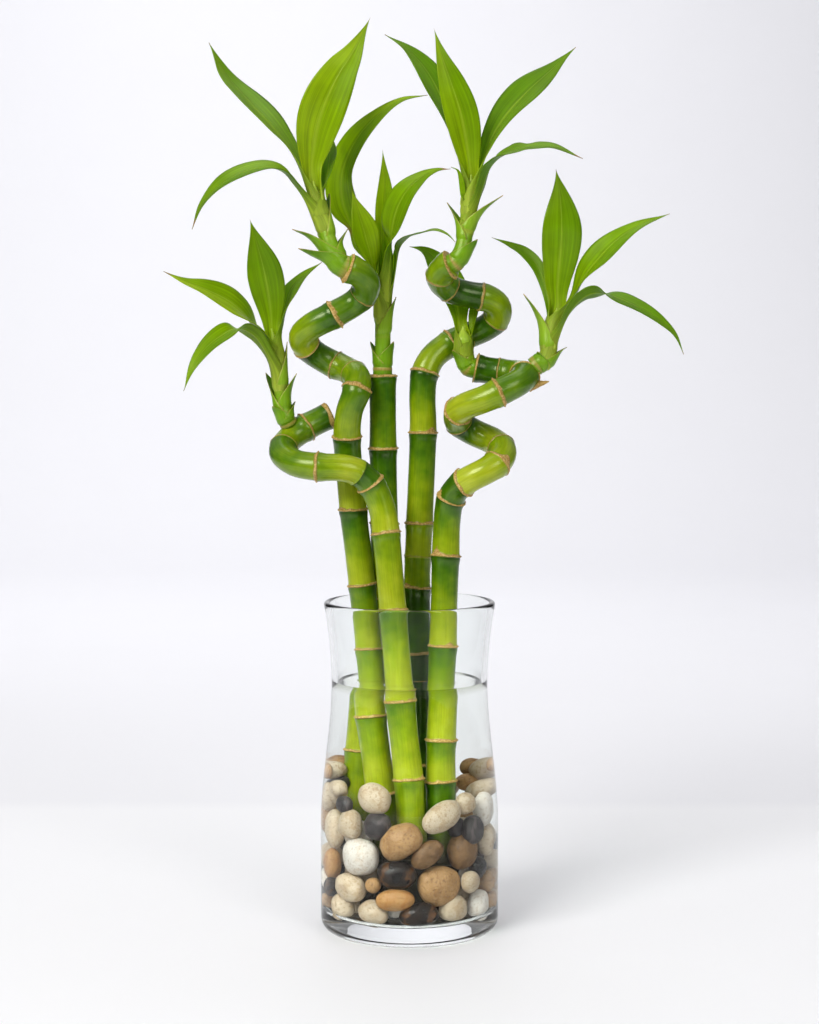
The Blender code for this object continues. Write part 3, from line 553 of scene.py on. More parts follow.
# shoots: foot and tip are radii; a sheath is (where it starts along the shoot, where its tip ends,
# how far out the tip stands, - for left, and how far it hangs down)
shoots = {
    "left": {
        "foot": 5.2, "tip": 3.0,
        "route": [(-28.3, -15.4, 296.7), (-31.5, -15.3, 300), (-34.5, -14.3, 306), (-37, -13, 314),
                  (-39.4, -12.3, 321), (-41, -12, 329), (-42, -12, 334)],
        "sheaths": [(1.5, 15, -17, 1.5), (4.5, 19, 10.6), (3, 25, -14), (15, 36, 7.5)]},
    "front": {
        "foot": 4.0, "tip": 2.8,
        "route": [(-54.6, 7, 228.3), (-55.8, 6.4, 231), (-57, 7, 236.5), (-58, 7.3, 246), (-59, 7, 255),
                  (-60.4, 6, 264), (-61.6, 5.4, 270)],
        "sheaths": [(1.0, 9.5, -5.4), (1.5, 10.5, 6.2), (6, 23, 8.0), (5, 24.5, -8.0), (15, 37, 5.6)]},
    "middle": {
        "foot": 4.4, "tip": 3.2,
        "route": [(-12.1, 12, 250.2), (-12, 12, 261), (-12, 12, 276), (-12, 12, 286), (-11.6, 11.6, 294)],
        "sheaths": [(2.5, 15, 6.0), (3, 15, -6.0), (17, 35, 6.0)]},
    "back": {
        "foot": 4.4, "tip": 3.0,
        "route": [(18.9, -9.5, 298.5), (22.8, -10.2, 303.4), (24.2, -9.2, 309.5), (25.2, -8.2, 316), (26, -8, 323),
                  (26.8, -8, 331), (27, -8, 337)],
        "sheaths": [(2.5, 13.5, 7.0), (11, 29, -10.5), (15, 34, 14.5)]},
    "right": {
        "foot": 4.5, "tip": 3.2,
        "route": [(56.5, -4, 254), (59.7, -3.6, 255.4), (61.3, -3, 259), (62, -1.5, 265), (64, 0, 273),
                  (65.6, 1, 279)],
        "sheaths": [(1.5, 8, -6.0), (4, 14, 9.0), (9, 32, -16.5)]},
    "low": {
        "cane": "right", "foot": 4.6, "tip": 3.4,
        "route": [(28.5, 9.2, 253.3), (25, 8.8, 256), (24.1, 8.2, 260.5), (24, 8, 265), (24, 8, 271)],
        "sheaths": [(3, 12, -6.0), (4.5, 15, 5.5)]},
}
# sheathTurns is the way each sheath points, in degrees back from the side
shootBuild = {"sides": 28, "step": 0.6, "closeFrom": 0.72, "sheathAcross": 16, "sheathAlong": 26,
              "sheathWrap": 150.0, "sheathThickness": 0.32, "sheathTurns": (-38, 24, -12, 40, 10),
              "sheathProud": 0.78, "sheathLayer": 0.1, "sunk": 0.6}


def shootCourse(name, spec):
    # starts square to its cane, sunk a little into it so that no gap shows
    stem = caneRoutes[spec.get("cane", name)]
    distance = stem.nearest(spec["route"][0])
    center, heading, _, _ = stem.frameAt(distance)
    if distance > stem.length - 0.5:
        out, start = heading, center - heading * 0.3
    else:
        out = (Vector(spec["route"][0]) - center).normalized()
        start = center + out * (caneBuild["radius"] - 0.6)
    return Route([start, center + (start - center).length * out + out * 2.4, *spec["route"][1:]])


shootCourses = {name: shootCourse(name, spec) for name, spec in shoots.items()}


def shootRadius(spec, share):
    foot, tip = spec["foot"], spec["tip"]
    return float(np.interp(share, (0, 0.3, 1), (foot, 0.3 * foot + 0.7 * tip, tip)))


def axisAt(route, distance):
    # place and heading on a shoot's axis, which runs on straight past its tip
    beyond = max(distance - route.length, 0.0)
    center, heading, _, _ = route.frameAt(min(max(distance, 0.0), route.length))
    return center + heading * beyond, heading


def youngStemSkin():
    # soft young stem in rolled leaf sheaths: yellow-green with fine lines, darker free tips, dry tan edges
    material, tree, shader = newMaterial("youngStemSkin")
    share, free, dry = [addNode(tree, "Attribute", attribute_name=name, out="Fac")
                        for name in ("share", "free", "dry")]
    skin = addNode(tree, "Attribute", attribute_name="skin", out="Vector")
    stretched = addNode(tree, "Mapping", {0: skin, "Scale": (2.4, 2.4, 0.1)})
    streak = addNode(tree, "TexNoise", {"Vector": stretched, "Scale": 1.0, "Detail": 3.0})
    green = addNode(tree, "ValToRGB", {0: share}, [(0.0, "#66920a"), (0.3, "#77a314"), (0.65, "#90b32a"),
                                                   (1.0, "#acc446")])
    green = addNode(tree, "MixRGB", {0: free, 1: green, 2: "#4c7a04"})
    streaks = addNode(tree, "MapRange", {"Value": streak, "From Min": 0.3, "From Max": 0.7,
                                         "To Min": 0.88, "To Max": 1.08})
    green = addNode(tree, "MixRGB", {0: 1.0, 1: green, 2: streaks}, blend_type="MULTIPLY")
    husk = addNode(tree, "MixRGB", {0: streak, 1: "#8f6226", 2: "#c9ab68"})
    color = addNode(tree, "MixRGB", {0: dry, 1: green, 2: husk})
    bump = addNode(tree, "Bump", {"Height": streak, "Strength": 0.35, "Distance": 0.0002})
    setInputs(tree, shader, {
        "Base Color": color, "Roughness": 0.33, "Normal": bump, "Specular Tint": "#eef5c4",
        "Subsurface Weight": 0.15, "Subsurface Radius": (0.6, 1.0, 0.1), "Subsurface Scale": 0.002})
    return material


def makeShoot(name, skin):
    spec, route = shoots[name], shootCourses[name]
    count = max(int(route.length / shootBuild["step"]), 12)
    rings = [sheath[0] for sheath in spec["sheaths"]]

    def ringAt(turn, distance, center):
        share = distance / route.length
        jag = roundNoise(turn, 2, distance * 0.1)
        ring = max(math.exp(-((distance - mark - 0.3 * jag) / 0.45) ** 2) for mark in rings)
        if distance > rings[0] + 1:
            ring *= 0.2
        reach = shootRadius(spec, share) + 0.16 * ring + 0.1 * jag
        reach *= 1 - 0.88 * smoothStep(shootBuild["closeFrom"], 1.0, share)  # hidden inside the leaf bases
        return reach, {"share": share, "dry": 0.8 * ring, "free": 0.0,
                       "skin": Vector((4 * math.cos(turn), 4 * math.sin(turn), distance))}

    growStem("sprout_shoot_" + name, "shoot", "shoot_" + name, skin, route,
             [route.length * i / count for i in range(count + 1)], shootBuild["sides"], ringAt)


def makeSheath(name, number, skin):
    # a short sheath clasps the shoot and frees itself into a pointed tip
    spec, route = shoots[name], shootCourses[name]
    start, end, out, *drop = spec["sheaths"][number]
    spread = math.radians(shootBuild["sheathTurns"][number])

    def placeOf(across, along, row):
        side = across * 2 - 1
        distance = start + (end - start) * along
        share = min(distance / route.length, 1.0)
        center, heading = axisAt(route, distance)
        outward = Vector((math.copysign(math.cos(spread), out), math.sin(spread), 0))
        outward = (outward - heading * outward.dot(heading)).normalized()
        around = heading.cross(outward)
        reach = shootRadius(spec, share) - shootBuild["sunk"]
        reach += (shootBuild["sheathProud"] + shootBuild["sheathLayer"] * number) * smoothStep(0, 0.22, along)
        angle = side * math.radians(shootBuild["sheathWrap"]) * ((1 - along) ** 0.95 + 0.004)
        place = center + (outward * math.cos(angle) + around * math.sin(angle)) * reach
        place += outward * max(abs(out) - reach, 0) * along ** 2.4
        place.z -= sum(drop) * along ** 3
        edge = 0.45 * smoothStep(0.9, 1.0, abs(side)) + 0.8 * smoothStep(0.93, 1.0, along)
        return place, {"share": share, "dry": min(edge, 1.0), "free": 0.85 * smoothStep(0.35, 0.95, along),
                       "skin": Vector((4 * math.cos(angle), 4 * math.sin(angle), distance))}

    sheet = gridSheet(shootBuild["sheathAcross"], shootBuild["sheathAlong"], placeOf)
    thicken(addPiece(f"sheath_{name}_{number + 1}", sheet, [skin], "shoot"), shootBuild["sheathThickness"], 1.0)


dryFlap = {"base": (53.0, -6.5, 244.4), "tip": (61.6, -6.0, 246.6), "width": 4.6, "curl": 1.2, "thickness": 0.4}


def makeDryFlap(skin):
    # what is left of an old sheath: a dry brown tongue beside a scar
    base, tip = Vector(dryFlap["base"]), Vector(dryFlap["tip"])

    def placeOf(across, along, row):
        side = across * 2 - 1
        half = dryFlap["width"] / 2 * (1 - along) ** 0.8 * (1 + 0.25 * noise.noise(Vector((along * 9, side, 3))))
        place = base.lerp(tip, along) + Vector((0, -dryFlap["curl"] * (1 - side * side), side * half))
        return place, {"share": 0.0, "dry": 1.0, "free": 0.0, "skin": place.copy()}

    piece = addPiece("sheath_dry_flap", gridSheet(8, 14, placeOf), [skin], "shoot")
    thicken(piece, dryFlap["thickness"], 0.0)


stemSkin = youngStemSkin()
for shootName, shootSpec in shoots.items():
    makeShoot(shootName, stemSkin)
    for sheathNumber in range(len(shootSpec["sheaths"])):
        makeSheath(shootName, sheathNumber, stemSkin)
makeDryFlap(stemSkin)
print("shoots grown")


# leaves: route in millimetres from the base to the tip, width, the way the upper face looks beyond the base,
# and the painted light on its left and right halves: 1 is painted sunlit yellow-green, -1 painted shaded dark green
leaves = {
    "left_long": {
        "route": [(-45.3, -10.5, 326), (-50.4, -4.5, 344.5), (-60, 2, 358), (-72, 10, 371.3), (-82.3, 16, 383.5),
                  (-90, 20, 398)],
        "width": 18, "looks": (0.5, -0.5, 0.8), "base": 0.42, "widest": 0.58, "paintedSun": (-0.2, -0.4)},
    "left_tall": {
        "route": [(-41.7, -8, 329), (-42.4, -9, 343), (-40.6, -12, 356), (-36.3, -15, 368), (-30, -15.5, 380.4),
                  (-24.4, -13.5, 389.5), (-17, -10, 404.6)],
        "width": 20.5, "looks": (0.1, -1, 0.1), "widest": 0.45, "base": 0.36, "paintedSun": (0.5, 0.05)},
    "left_drooping": {
        "route": [(-44.6, -14.4, 318), (-49.5, -17, 330.3), (-54.5, -20, 337), (-61, -23, 339), (-69, -26, 337.4),
                  (-77.5, -29, 333.2), (-84.5, -31, 327.6), (-89.7, -32, 321), (-93, -32, 312)],
        "width": 12.5, "looks": (-0.3, -0.5, 0.8), "base": 0.5, "paintedSun": (-0.5, -0.2), "dryFrom": 0.93},
    "left_inner": {
        "route": [(-37.9, -11.5, 326), (-35.8, -7, 338), (-34.8, -1, 348), (-34.3, 5, 356)],
        "width": 9, "looks": (-0.5, -0.8, 0.3), "paintedSun": (-0.7, -0.6)},
    "front_tall": {
        "route": [(-61, 9.6, 264), (-62.4, 8, 281), (-64.5, 3.5, 295), (-67.4, 0, 307), (-70.4, -2, 318)],
        "width": 16.5, "looks": (0.1, -1, 0.1), "paintedSun": (-0.1, -0.35), "base": 0.42},
    "front_wide": {
        "route": [(-64.4, 4, 258), (-70.6, -0.5, 272.3), (-78.6, -6.5, 281), (-88.6, -12, 286.6),
                  (-98, -15.5, 290.3), (-107, -18, 294.6)],
        "width": 17.5, "looks": (0.2, -0.7, 0.7), "widest": 0.36, "base": 0.6, "paintedSun": (0.65, 0.1), "dryFrom": 0.93},
    "front_drooping": {
        "route": [(-61.6, 2.4, 250), (-65.7, -2.5, 263), (-71, -6, 268.6), (-76.6, -9.5, 269.6),
                  (-82.8, -13, 266.4), (-89.3, -16, 260.8), (-94.6, -19, 253), (-98.4, -20, 242.6)],
        "width": 10.5, "looks": (0.3, 0.6, 0.6), "then": (0.42, (-0.3, -0.8, 0.5)), "paintedSun": (-0.3, 0.0),
        "base": 0.45},
    "front_inner": {
        "route": [(-57.6, 5.6, 262), (-55.8, 8.8, 276), (-53.4, 13, 286.6), (-48, 17, 293.6), (-39.6, 20, 300)],
        "width": 9.5, "looks": (-0.5, -0.7, 0.5), "base": 0.5, "paintedSun": (-0.1, -0.2)},
    "middle_spear": {
        "route": [(-11.6, 11.6, 292), (-11.7, 11.5, 310), (-11.2, 11, 323), (-11, 10.5, 334), (-12, 10, 350)],
        "width": 8.5, "looks": (0, -1, 0.1), "paintedSun": (0.5, 0.2)},
    "middle_wide": {
        "route": [(-9, 8.6, 288), (-8.2, 6, 304.5), (-6.8, 2.6, 318.5), (-2.2, -1.2, 329), (5, -4, 336),
                  (11.8, -6, 339.2), (18, -7, 339.6)],
        "width": 13, "looks": (-0.2, -0.9, 0.5), "paintedSun": (-0.15, -0.3), "base": 0.42, "dryFrom": 0.93},
    "middle_arching": {
        "route": [(-7.8, 13, 280), (-6.6, 12, 294), (-4.6, 8.5, 305), (-1, 2.5, 310), (5, -4.5, 311.8),
                  (11, -9, 312.8), (16.3, -12.5, 311), (20, -14.2, 307.4)],
        "width": 8, "looks": (0.1, -0.4, 0.9), "paintedSun": (-0.3, -0.3)},
    "middle_broad": {
        "route": [(-15.2, 9.6, 282), (-17, 6, 300), (-19.6, 3, 311), (-22.6, 1, 321), (-25.6, 0, 331)],
        "width": 13, "looks": (0.3, -0.9, 0.3), "widest": 0.6, "paintedSun": (0.2, 0.35)},
    "middle_long": {
        "route": [(-13, 16.4, 283), (-17.5, 19.5, 300), (-25, 20.5, 314), (-30, 17, 327), (-29.8, 11.5, 340),
                  (-23.5, 5, 353.4), (-14, 1, 363.6), (-3.6, -1, 370.2), (8, -2, 372.2)],
        "width": 15, "looks": (-0.3, -0.8, 0.5), "pinches": [(0.3, 0.62)], "dryCrease": 0.3, "paintedSun": (0.2, -0.1)},
    "back_long": {
        "route": [(22.8, -7.4, 328), (21.8, -2.5, 341), (19.2, 2.5, 355.4), (14.8, 7.5, 370), (8, 11, 383.6),
                  (-1.3, 14, 394.4), (-11, 16, 401)],
        "width": 17, "looks": (0.4, -0.6, 0.7), "widest": 0.6, "paintedSun": (-0.5, -0.65)},
    "back_tall": {
        "route": [(26.9, -3.6, 331), (25.6, -6.5, 347), (22.7, -10, 362), (18.5, -12.5, 375), (14, -12.5, 388),
                  (10.6, -10, 400)],
        "width": 15.5, "looks": (0.1, -1, 0.1), "widest": 0.45, "paintedSun": (0.2, -0.25), "base": 0.4},
    "back_wide": {
        "route": [(30.8, -6.4, 330), (33.9, -3.5, 347.3), (40.6, 0, 361), (51.4, 4, 373.6), (63, 6, 384.2),
                  (73.6, 7, 394.2)],
        "width": 17.5, "looks": (-0.4, -0.7, 0.6), "widest": 0.6, "paintedSun": (-0.6, -0.45)},
    "back_drooping": {
        "route": [(29.4, -10.8, 318), (32.9, -14, 334.6), (37.3, -18, 342), (43.3, -22, 345.4), (50, -25, 347.2),
                  (56, -27, 347.6), (63, -29, 346.8), (74, -32, 342)],
        "width": 12, "looks": (0.3, -0.5, 0.8), "then": (0.6, (0.2, -0.5, 0.8)), "pinches": [(0.63, 0.4)],
        "base": 0.45, "paintedSun": (-0.4, -0.5), "dryFrom": 0.93},
    "back_small": {
        "route": [(23.6, -9.6, 319), (23.2, -11, 331), (21.4, -12.2, 338), (18, -13, 340)],
        "width": 2.8, "opensBy": 0.05, "wrap": 35, "looks": (-0.3, -0.6, 0.7), "paintedSun": (-0.2, -0.2)},
    "right_tall": {
        "route": [(65.2, 5.4, 273), (66, 5.2, 290), (67, 2, 304), (67.2, -2, 315), (66.3, -3, 328),
                  (64.5, -2, 340)],
        "width": 18, "looks": (0, -1, 0.1), "widest": 0.58, "paintedSun": (-0.1, -0.35), "base": 0.38},
    "right_wide": {
        "route": [(69.4, -0.8, 272), (76, -5.4, 290.5), (83.5, -7.5, 301), (91.5, -9, 309), (101, -9.5, 315),
                  (114, -9, 320)],
        "width": 14.5, "looks": (-0.3, -0.7, 0.7), "widest": 0.45, "base": 0.62, "paintedSun": (-0.2, -0.3)},
    "right_drooping": {
        "route": [(65.4, -4.4, 261), (69.6, -11.5, 275.6), (76, -14.5, 283.3), (83, -16, 285.3), (91, -19.5, 282.8),
                  (100, -23, 278.4), (108.4, -26, 273), (114.6, -28, 267), (118.2, -29, 258.6)],
        "width": 9.8, "looks": (-0.2, 0.7, 0.6), "then": (0.45, (0.3, -0.7, 0.7)), "paintedSun": (-0.55, -0.55)},
    "right_inner": {
        "route": [(62.4, 2, 267), (62, 6.6, 282), (58.4, 11, 296), (52, 14, 304), (44.6, 16, 308), (37, 17, 311)],
        "width": 5.8, "looks": (-0.4, -0.7, 0.6), "widest": 0.62, "paintedSun": (-0.5, -0.4)},
    "low_broad": {
        "route": [(22.3, 12, 266), (21.5, 15.5, 280), (17, 18, 292), (11, 19, 301), (6, 19, 305.5), (0, 18.4, 307)],
        "width": 15, "looks": (0.2, -0.8, 0.5), "paintedSun": (-0.3, -0.3)},
    "low_small": {
        "route": [(27.8, 10.8, 265), (29, 13.6, 278), (32.5, 16, 283.5), (36, 17.5, 287.5)],
        "width": 4.5, "looks": (-0.2, -0.8, 0.5), "paintedSun": (-0.1, -0.1)},
}
# wrap is how many degrees of the shoot each side of a leaf's foot clasps; opensBy, turnBy, twist, dryFrom
# and the widths are shares of the blade's length; a leaf may set any of these for itself
leafBuild = {"across": 14, "along": 80, "thickness": 0.34, "base": 0.3, "widest": 0.52, "sheath": 10.0,
             "wrap": 150.0, "fold": 0.26, "wave": 0.45, "waves": 13, "opensBy": 0.24, "turnBy": 0.6, "twist": 0.13,
             "dryFrom": 0.97, "dryFade": 0.03, "creaseWidth": 0.025, "pinchWidth": 0.05, "pinches": (),
             "layer": 0.15, "layerStep": 0.2, "sunk": 0.5}


def waxyLeaf(name, bladeStops, gloss, veinDepth):
    # a living leaf: thin wax over a blade with parallel veins 0.6 mm apart and one paler rib down its middle
    material, tree, shader = newMaterial(name)
    grid = addNode(tree, "UVMap", uv_map="UVMap")
    across, along = [addNode(tree, "SeparateXYZ", {0: grid}, out=axis) for axis in "XY"]
    paintedSun, dry = [addNode(tree, "Attribute", attribute_name=layer, out="Fac") for layer in ("paintedSun", "dry")]
    color = addNode(tree, "ValToRGB", {0: along}, bladeStops)
    # painted light and shade: each half of the blade is painted yellow-green as if sunlit and dark green as if shaded
    paintedSunlit = addNode(tree, "MapRange", {"Value": paintedSun, "To Max": 0.6})
    color = addNode(tree, "MixRGB", {0: paintedSunlit, 1: color, 2: "#b3c81a"})
    paintedShaded = addNode(tree, "MapRange", {"Value": paintedSun, "From Max": -1.0})
    color = addNode(tree, "MixRGB", {0: paintedShaded, 1: color, 2: "#3f6a08"})
    # soft patches, then veins that run the blade's length as broad and fine stripes
    place = addNode(tree, "TexCoord", out="Object")
    patch = addNode(tree, "TexNoise", {"Vector": place, "Scale": 55.0, "Detail": 3.0})
    broad = addNode(tree, "Mapping", {0: grid, 1: (0.0, 3.7, 0.0), "Scale": (9.0, 1.1, 1.0)})
    broad = addNode(tree, "TexNoise", {"Vector": broad, "Scale": 1.0, "Detail": 2.0})
    vein = addNode(tree, "Mapping", {0: grid, "Scale": (46.0, 1.3, 1.0)})
    vein = addNode(tree, "TexNoise", {"Vector": vein, "Scale": 1.0, "Detail": 2.0})
    for pattern, low, high, dark, light in ((patch, 0.3, 0.7, 0.8, 1.12), (broad, 0.32, 0.68, 0.74, 1.12),
                                            (vein, 0.35, 0.65, 0.8, 1.14)):
        shade = addNode(tree, "MapRange", {"Value": pattern, "From Min": low, "From Max": high,
                                           "To Min": dark, "To Max": light})
        color = addNode(tree, "MixRGB", {0: 1.0, 1: color, 2: shade}, blend_type="MULTIPLY")
    # the rib: broad at the foot, narrow at the tip
    fromRib = addNode(tree, "Math", {0: across, 1: 0.5}, operation="SUBTRACT")
    fromRib = addNode(tree, "Math", {0: fromRib}, operation="ABSOLUTE")
    ribWidth = addNode(tree, "ValToRGB", {0: along}, [(0.0, 0.3), (0.25, 0.1), (0.7, 0.025)])
    rib = addNode(tree, "Math", {0: fromRib, 1: ribWidth}, operation="DIVIDE")
    rib = addNode(tree, "ValToRGB", {0: rib}, [(0.15, 1.0), (1.0, 0.0)])
    paler = addNode(tree, "Math", {0: rib, 1: 0.3}, operation="MULTIPLY")
    color = addNode(tree, "MixRGB", {0: paler, 1: color, 2: "#abbf3c"})
    # the tip, and the edge of a crease, are dry and brown
    color = addNode(tree, "MixRGB", {0: dry, 1: color, 2: "#8a6236"})
    height = addNode(tree, "Math", {0: rib, 1: 1.5, 2: vein}, operation="MULTIPLY_ADD")
    bump = addNode(tree, "Bump", {"Height": height, "Strength": veinDepth, "Distance": 0.00025})
    setInputs(tree, shader, {
        "Base Color": color, "Roughness": gloss, "Normal": bump, "IOR": 1.42, "Specular IOR Level": 0.32,
        "Specular Tint": "#e8f2b0", "Subsurface Weight": 0.2, "Subsurface Radius": (0.5, 1.0, 0.1),
        "Subsurface Scale": 0.003})
    return material


leafSkins = [
    waxyLeaf("waxyLeafUpper", [(0.0, "#adc23c"), (0.14, "#97b01a"), (0.3, "#82a004"), (0.7, "#739600"),
                               (1.0, "#7d9a10")], 0.32, 0.35),
    waxyLeaf("waxyLeafUnderside", [(0.0, "#a5bc42"), (0.14, "#88a028"), (0.3, "#6d8a14"), (0.7, "#618010"),
                                   (1.0, "#769418")], 0.46, 0.5)]


def bladeShare(share, widest, base):
    # how wide a blade is at a share of its length
    if share < widest:
        return base + (1 - base) * math.sin(math.pi / 2 * max(share, 0) / widest) ** 1.8
    return max(math.cos(math.pi / 2 * (share - widest) / (1 - widest)), 0.0) ** 1.5


def makeLeaf(name, number):
    spec, shootName = {**leafBuild, **leaves[name]}, name.split("_")[0]
    route, stem, stemSpec = Route(spec["route"]), shootCourses[shootName], shoots[shootName]
    base = route.at(0)
    stemAt = stem.nearest(base)
    inward = stem.at(stemAt) - base
    inward.z = 0
    inward = inward.normalized() if inward.length > 1.5 else Vector((0, -1, 0))
    sheath = spec["sheath"]
    total = route.length + sheath
    looks = Vector(spec["looks"]).normalized()
    left, right = spec["paintedSun"]
    layer = spec["layer"] + spec["layerStep"] * (number % 4)

    def placeOf(across, along, row):
        side = across * 2 - 1
        travelled = along * total - sheath
        share = max(travelled, 0) / route.length
        turned = smoothStep(0.0, spec["turnBy"], share)
        spot, heading, _, _ = route.frameAt(max(travelled, 0))
        towards = looks
        if "then" in spec:  # the blade twists over
            at, later = spec["then"]
            towards = looks.lerp(Vector(later).normalized(), smoothStep(at - spec["twist"], at + spec["twist"], share))
        face = (inward * (1 - turned) + towards * turned).normalized()
        sideways = heading.cross(face).normalized()
        half = spec["width"] / 2 * bladeShare(share, spec["widest"], spec["base"])
        for at, depth in spec["pinches"]:
            half *= 1 - depth * math.exp(-((share - at) / spec["pinchWidth"]) ** 2)
        fold = min(spec["fold"] * (1.5 - 1.1 * share), 0.7)
        lift = fold * abs(side) ** 1.3 * half
        ripple = spec["wave"] * math.sin(share * spec["waves"] + number * 2.1 + (1.3 if side > 0 else 0))
        lift += ripple * abs(side) ** 2 * min(share * 3, 1.0) * min(half / 4, 1)
        blade = spot + sideways * side * half * math.sqrt(max(1 - fold ** 2, 0.2)) + sideways.cross(heading) * lift
        # its foot clasps the shoot, its lower edge grown out of it, and opens into the blade
        stemCenter, stemHeading = axisAt(stem, stemAt + travelled)
        outer = -(inward - stemHeading * inward.dot(stemHeading)).normalized()
        around = stemHeading.cross(-outer).normalized()
        opened = smoothStep(-0.4 * sheath, spec["opensBy"] * route.length, travelled)
        angle = side * math.radians(spec["wrap"]) * (1 - 0.6 * opened)
        sunk = smoothStep(-sheath, -0.6 * sheath, travelled)
        reach = shootRadius(stemSpec, min(max(stemAt + travelled, 0) / stem.length, 1.0))
        reach += layer * sunk - spec["sunk"] * (1 - sunk)
        clasp = stemCenter + (around * math.sin(angle) + outer * math.cos(angle)) * reach
        dry = smoothStep(spec["dryFrom"], spec["dryFrom"] + spec["dryFade"], share)
        if "dryCrease" in spec:
            crease = math.exp(-((share - spec["dryCrease"]) / spec["creaseWidth"]) ** 2)
            dry = max(dry, 0.9 * crease * smoothStep(0.2, 0.7, -side))
        # painted light and shade on each half of the blade
        paintedSun = left + (right - left) * smoothStep(-0.35, 0.35, side)
        return clasp.lerp(blade, opened), {"paintedSun": paintedSun * smoothStep(0.02, 0.3, share), "dry": dry}

    sheet = gridSheet(spec["across"], spec["along"], placeOf)
    thick = thicken(addPiece("blade_leaf_" + name, sheet, leafSkins, "leaf", "leaf_" + name), spec["thickness"], 0.0)
    thick.material_offset = 1
    thick.material_offset_rim = 0


for leafNumber, leafName in enumerate(leaves):
    makeLeaf(leafName, leafNumber)
print("leaves unfolded")


# pebbles seen against the glass: width, height, tilt in degrees, and how far each settled to the right and up
frontPebbles = {
    "cream_top_left": (15.4, 13.1, -15, 2.0, -2.0), "white_round": (17.9, 16.6, 0, 0, -3.2),
    "tan_middle": (19.6, 14.6, 33, 0, -0.6), "cream_tilted": (18.9, 12.0, 28, 1.0, -5.5),
    "grey_left": (12.0, 12.3, 0, 2.6, -1.2), "black_veined": (17.0, 12.3, 0, 3.2, -1.3),
    "amber_low": (16.4, 9.8, 4, 1.0, -0.2), "black_low": (17.0, 11.2, 6, -2.7, -0.4),
    "tan_large": (18.9, 17.6, 0, -4.6, -3.2), "brown_small": (15.4, 10.0, 38, -2.5, -0.7),
    "brown_right": (14.0, 16.4, 0, -2.6, -2.0), "grey_right": (11.0, 13.0, 0, 0.6, -6.4),
    "white_right": (11.0, 14.9, 0, 0.6, -4.6), "cream_right": (9.6, 9.6, 0, -0.3, -4.7),
    "cream_left": (11.4, 12.9, 0, 0.4, -3.2), "cream_edge": (10.6, 17.4, 0, -0.4, -5.8),
    "amber_edge": (9.0, 13.6, 0, -0.2, -6.0), "cream_wide": (15.8, 12.4, -4, -1.0, -2.3),
    "cream_corner": (11.8, 11.6, 0, -0.4, -0.8), "cream_low": (13.9, 11.4, -10, 3.8, -0.8),
    "cream_foot": (12.5, 12.6, 0, -3.4, -0.3), "white_foot": (10.6, 13.6, -10, -0.4, -1.6),
}
# the stones' colors; share is how common each kind is among the loose ones
pebbleKinds = {
    "cream": {"base": "#c9b8a0", "vein": "#b39877", "speck": "#9c8060", "gloss": 0.42, "cloud": 0.6, "share": 7},
    "white": {"base": "#dfd8d1", "vein": "#d6c6b4", "speck": "#b5a08a", "gloss": 0.46, "cloud": 0.5, "share": 4},
    "tan": {"base": "#ae885b", "vein": "#8f683e", "speck": "#6c4e32", "gloss": 0.42, "cloud": 0.7, "share": 4},
    "brown": {"base": "#866644", "vein": "#5c3f22", "speck": "#3f2c1c", "gloss": 0.42, "cloud": 0.8, "share": 2},
    "grey": {"base": "#332f30", "vein": "#6d6362", "speck": "#232021", "gloss": 0.3, "cloud": 0.35, "share": 3},
    "black": {"base": "#14100f", "vein": "#6b4626", "speck": "#121011", "gloss": 0.26, "cloud": 0.1, "share": 1},
    "amber": {"base": "#ae8450", "vein": "#a0682f", "speck": "#855024", "gloss": 0.42, "cloud": 0.6, "share": 2},
}
# small stones seen above the pile and between the big ones: kind, place, the three half sizes, tilt
smallStones = [
    ("cream", (-30.6, 12, 69.5), (6.6, 4.6, 3.9), 8), ("tan", (-25.6, 22, 70.5), (5.2, 4.2, 3.9), -8),
    ("grey", (-27.5, 12, 63.5), (4.6, 4.0, 3.2), 20), ("cream", (-29.6, -3.4, 62.5), (5.0, 4.4, 5.4), 0),
    ("tan", (23.5, 22, 69.3), (4.4, 4.0, 3.9), 0), ("cream", (29.0, 14, 70.0), (6.0, 5.0, 4.9), 22),
    ("tan", (22.4, 14, 64.0), (4.6, 4.4, 3.9), 6), ("cream", (29.0, 4, 62.6), (7.2, 4.8, 4.3), 20),
    ("cream", (-9.0, 27, 68.0), (5.4, 4.4, 4.2), 0), ("tan", (10.0, 28, 68.0), (5.8, 4.2, 4.2), 12),
    ("tan", (-33.4, 2, 71.0), (2.6, 4.4, 3.6), 0), ("tan", (33.0, 4, 73.5), (2.6, 3.6, 3.2), 0),
    ("cream", (-33.4, -3, 60.5), (3.0, 4.2, 6.4), 0), ("grey", (-27.2, -16, 59.6), (4.6, 3.4, 3.9), 0),
    ("tan", (-15.5, -29, 26.6), (3.4, 3.6, 3.4), 0), ("cream", (25.8, -22, 26.4), (4.6, 3.6, 5.0), 0),
    ("grey", (19.5, -18.5, 50.0), (4.2, 3.8, 4.6), 0), ("tan", (1.0, 28.5, 61.0), (5.6, 4.2, 4.4), -10),
    ("cream", (-12.0, 28, 59.0), (6.0, 4.4, 4.8), 8), ("cream", (13.0, 28, 58.6), (5.8, 4.4, 4.6), 0),
    ("cream", (31.8, -9.5, 41.9), (3.5, 4.2, 6.4), 0), ("cream", (34.2, -1, 32.2), (2.2, 4.2, 4.2), 0),
    ("black", (28.6, -14.5, 31.1), (4.6, 3.8, 5.0), 0), ("tan", (32.4, -9, 23.7), (2.8, 4.2, 4.8), 0),
    ("tan", (33.6, -6, 14.6), (2.5, 4.2, 4.0), 0), ("black", (-32.4, -8.5, 21.1), (3.2, 4.2, 4.2), 0),
    ("tan", (-34.0, -5, 13.8), (2.4, 4.2, 3.6), 0), ("cream", (-29.2, -9, 65.4), (4.4, 3.8, 3.6), 0),
]
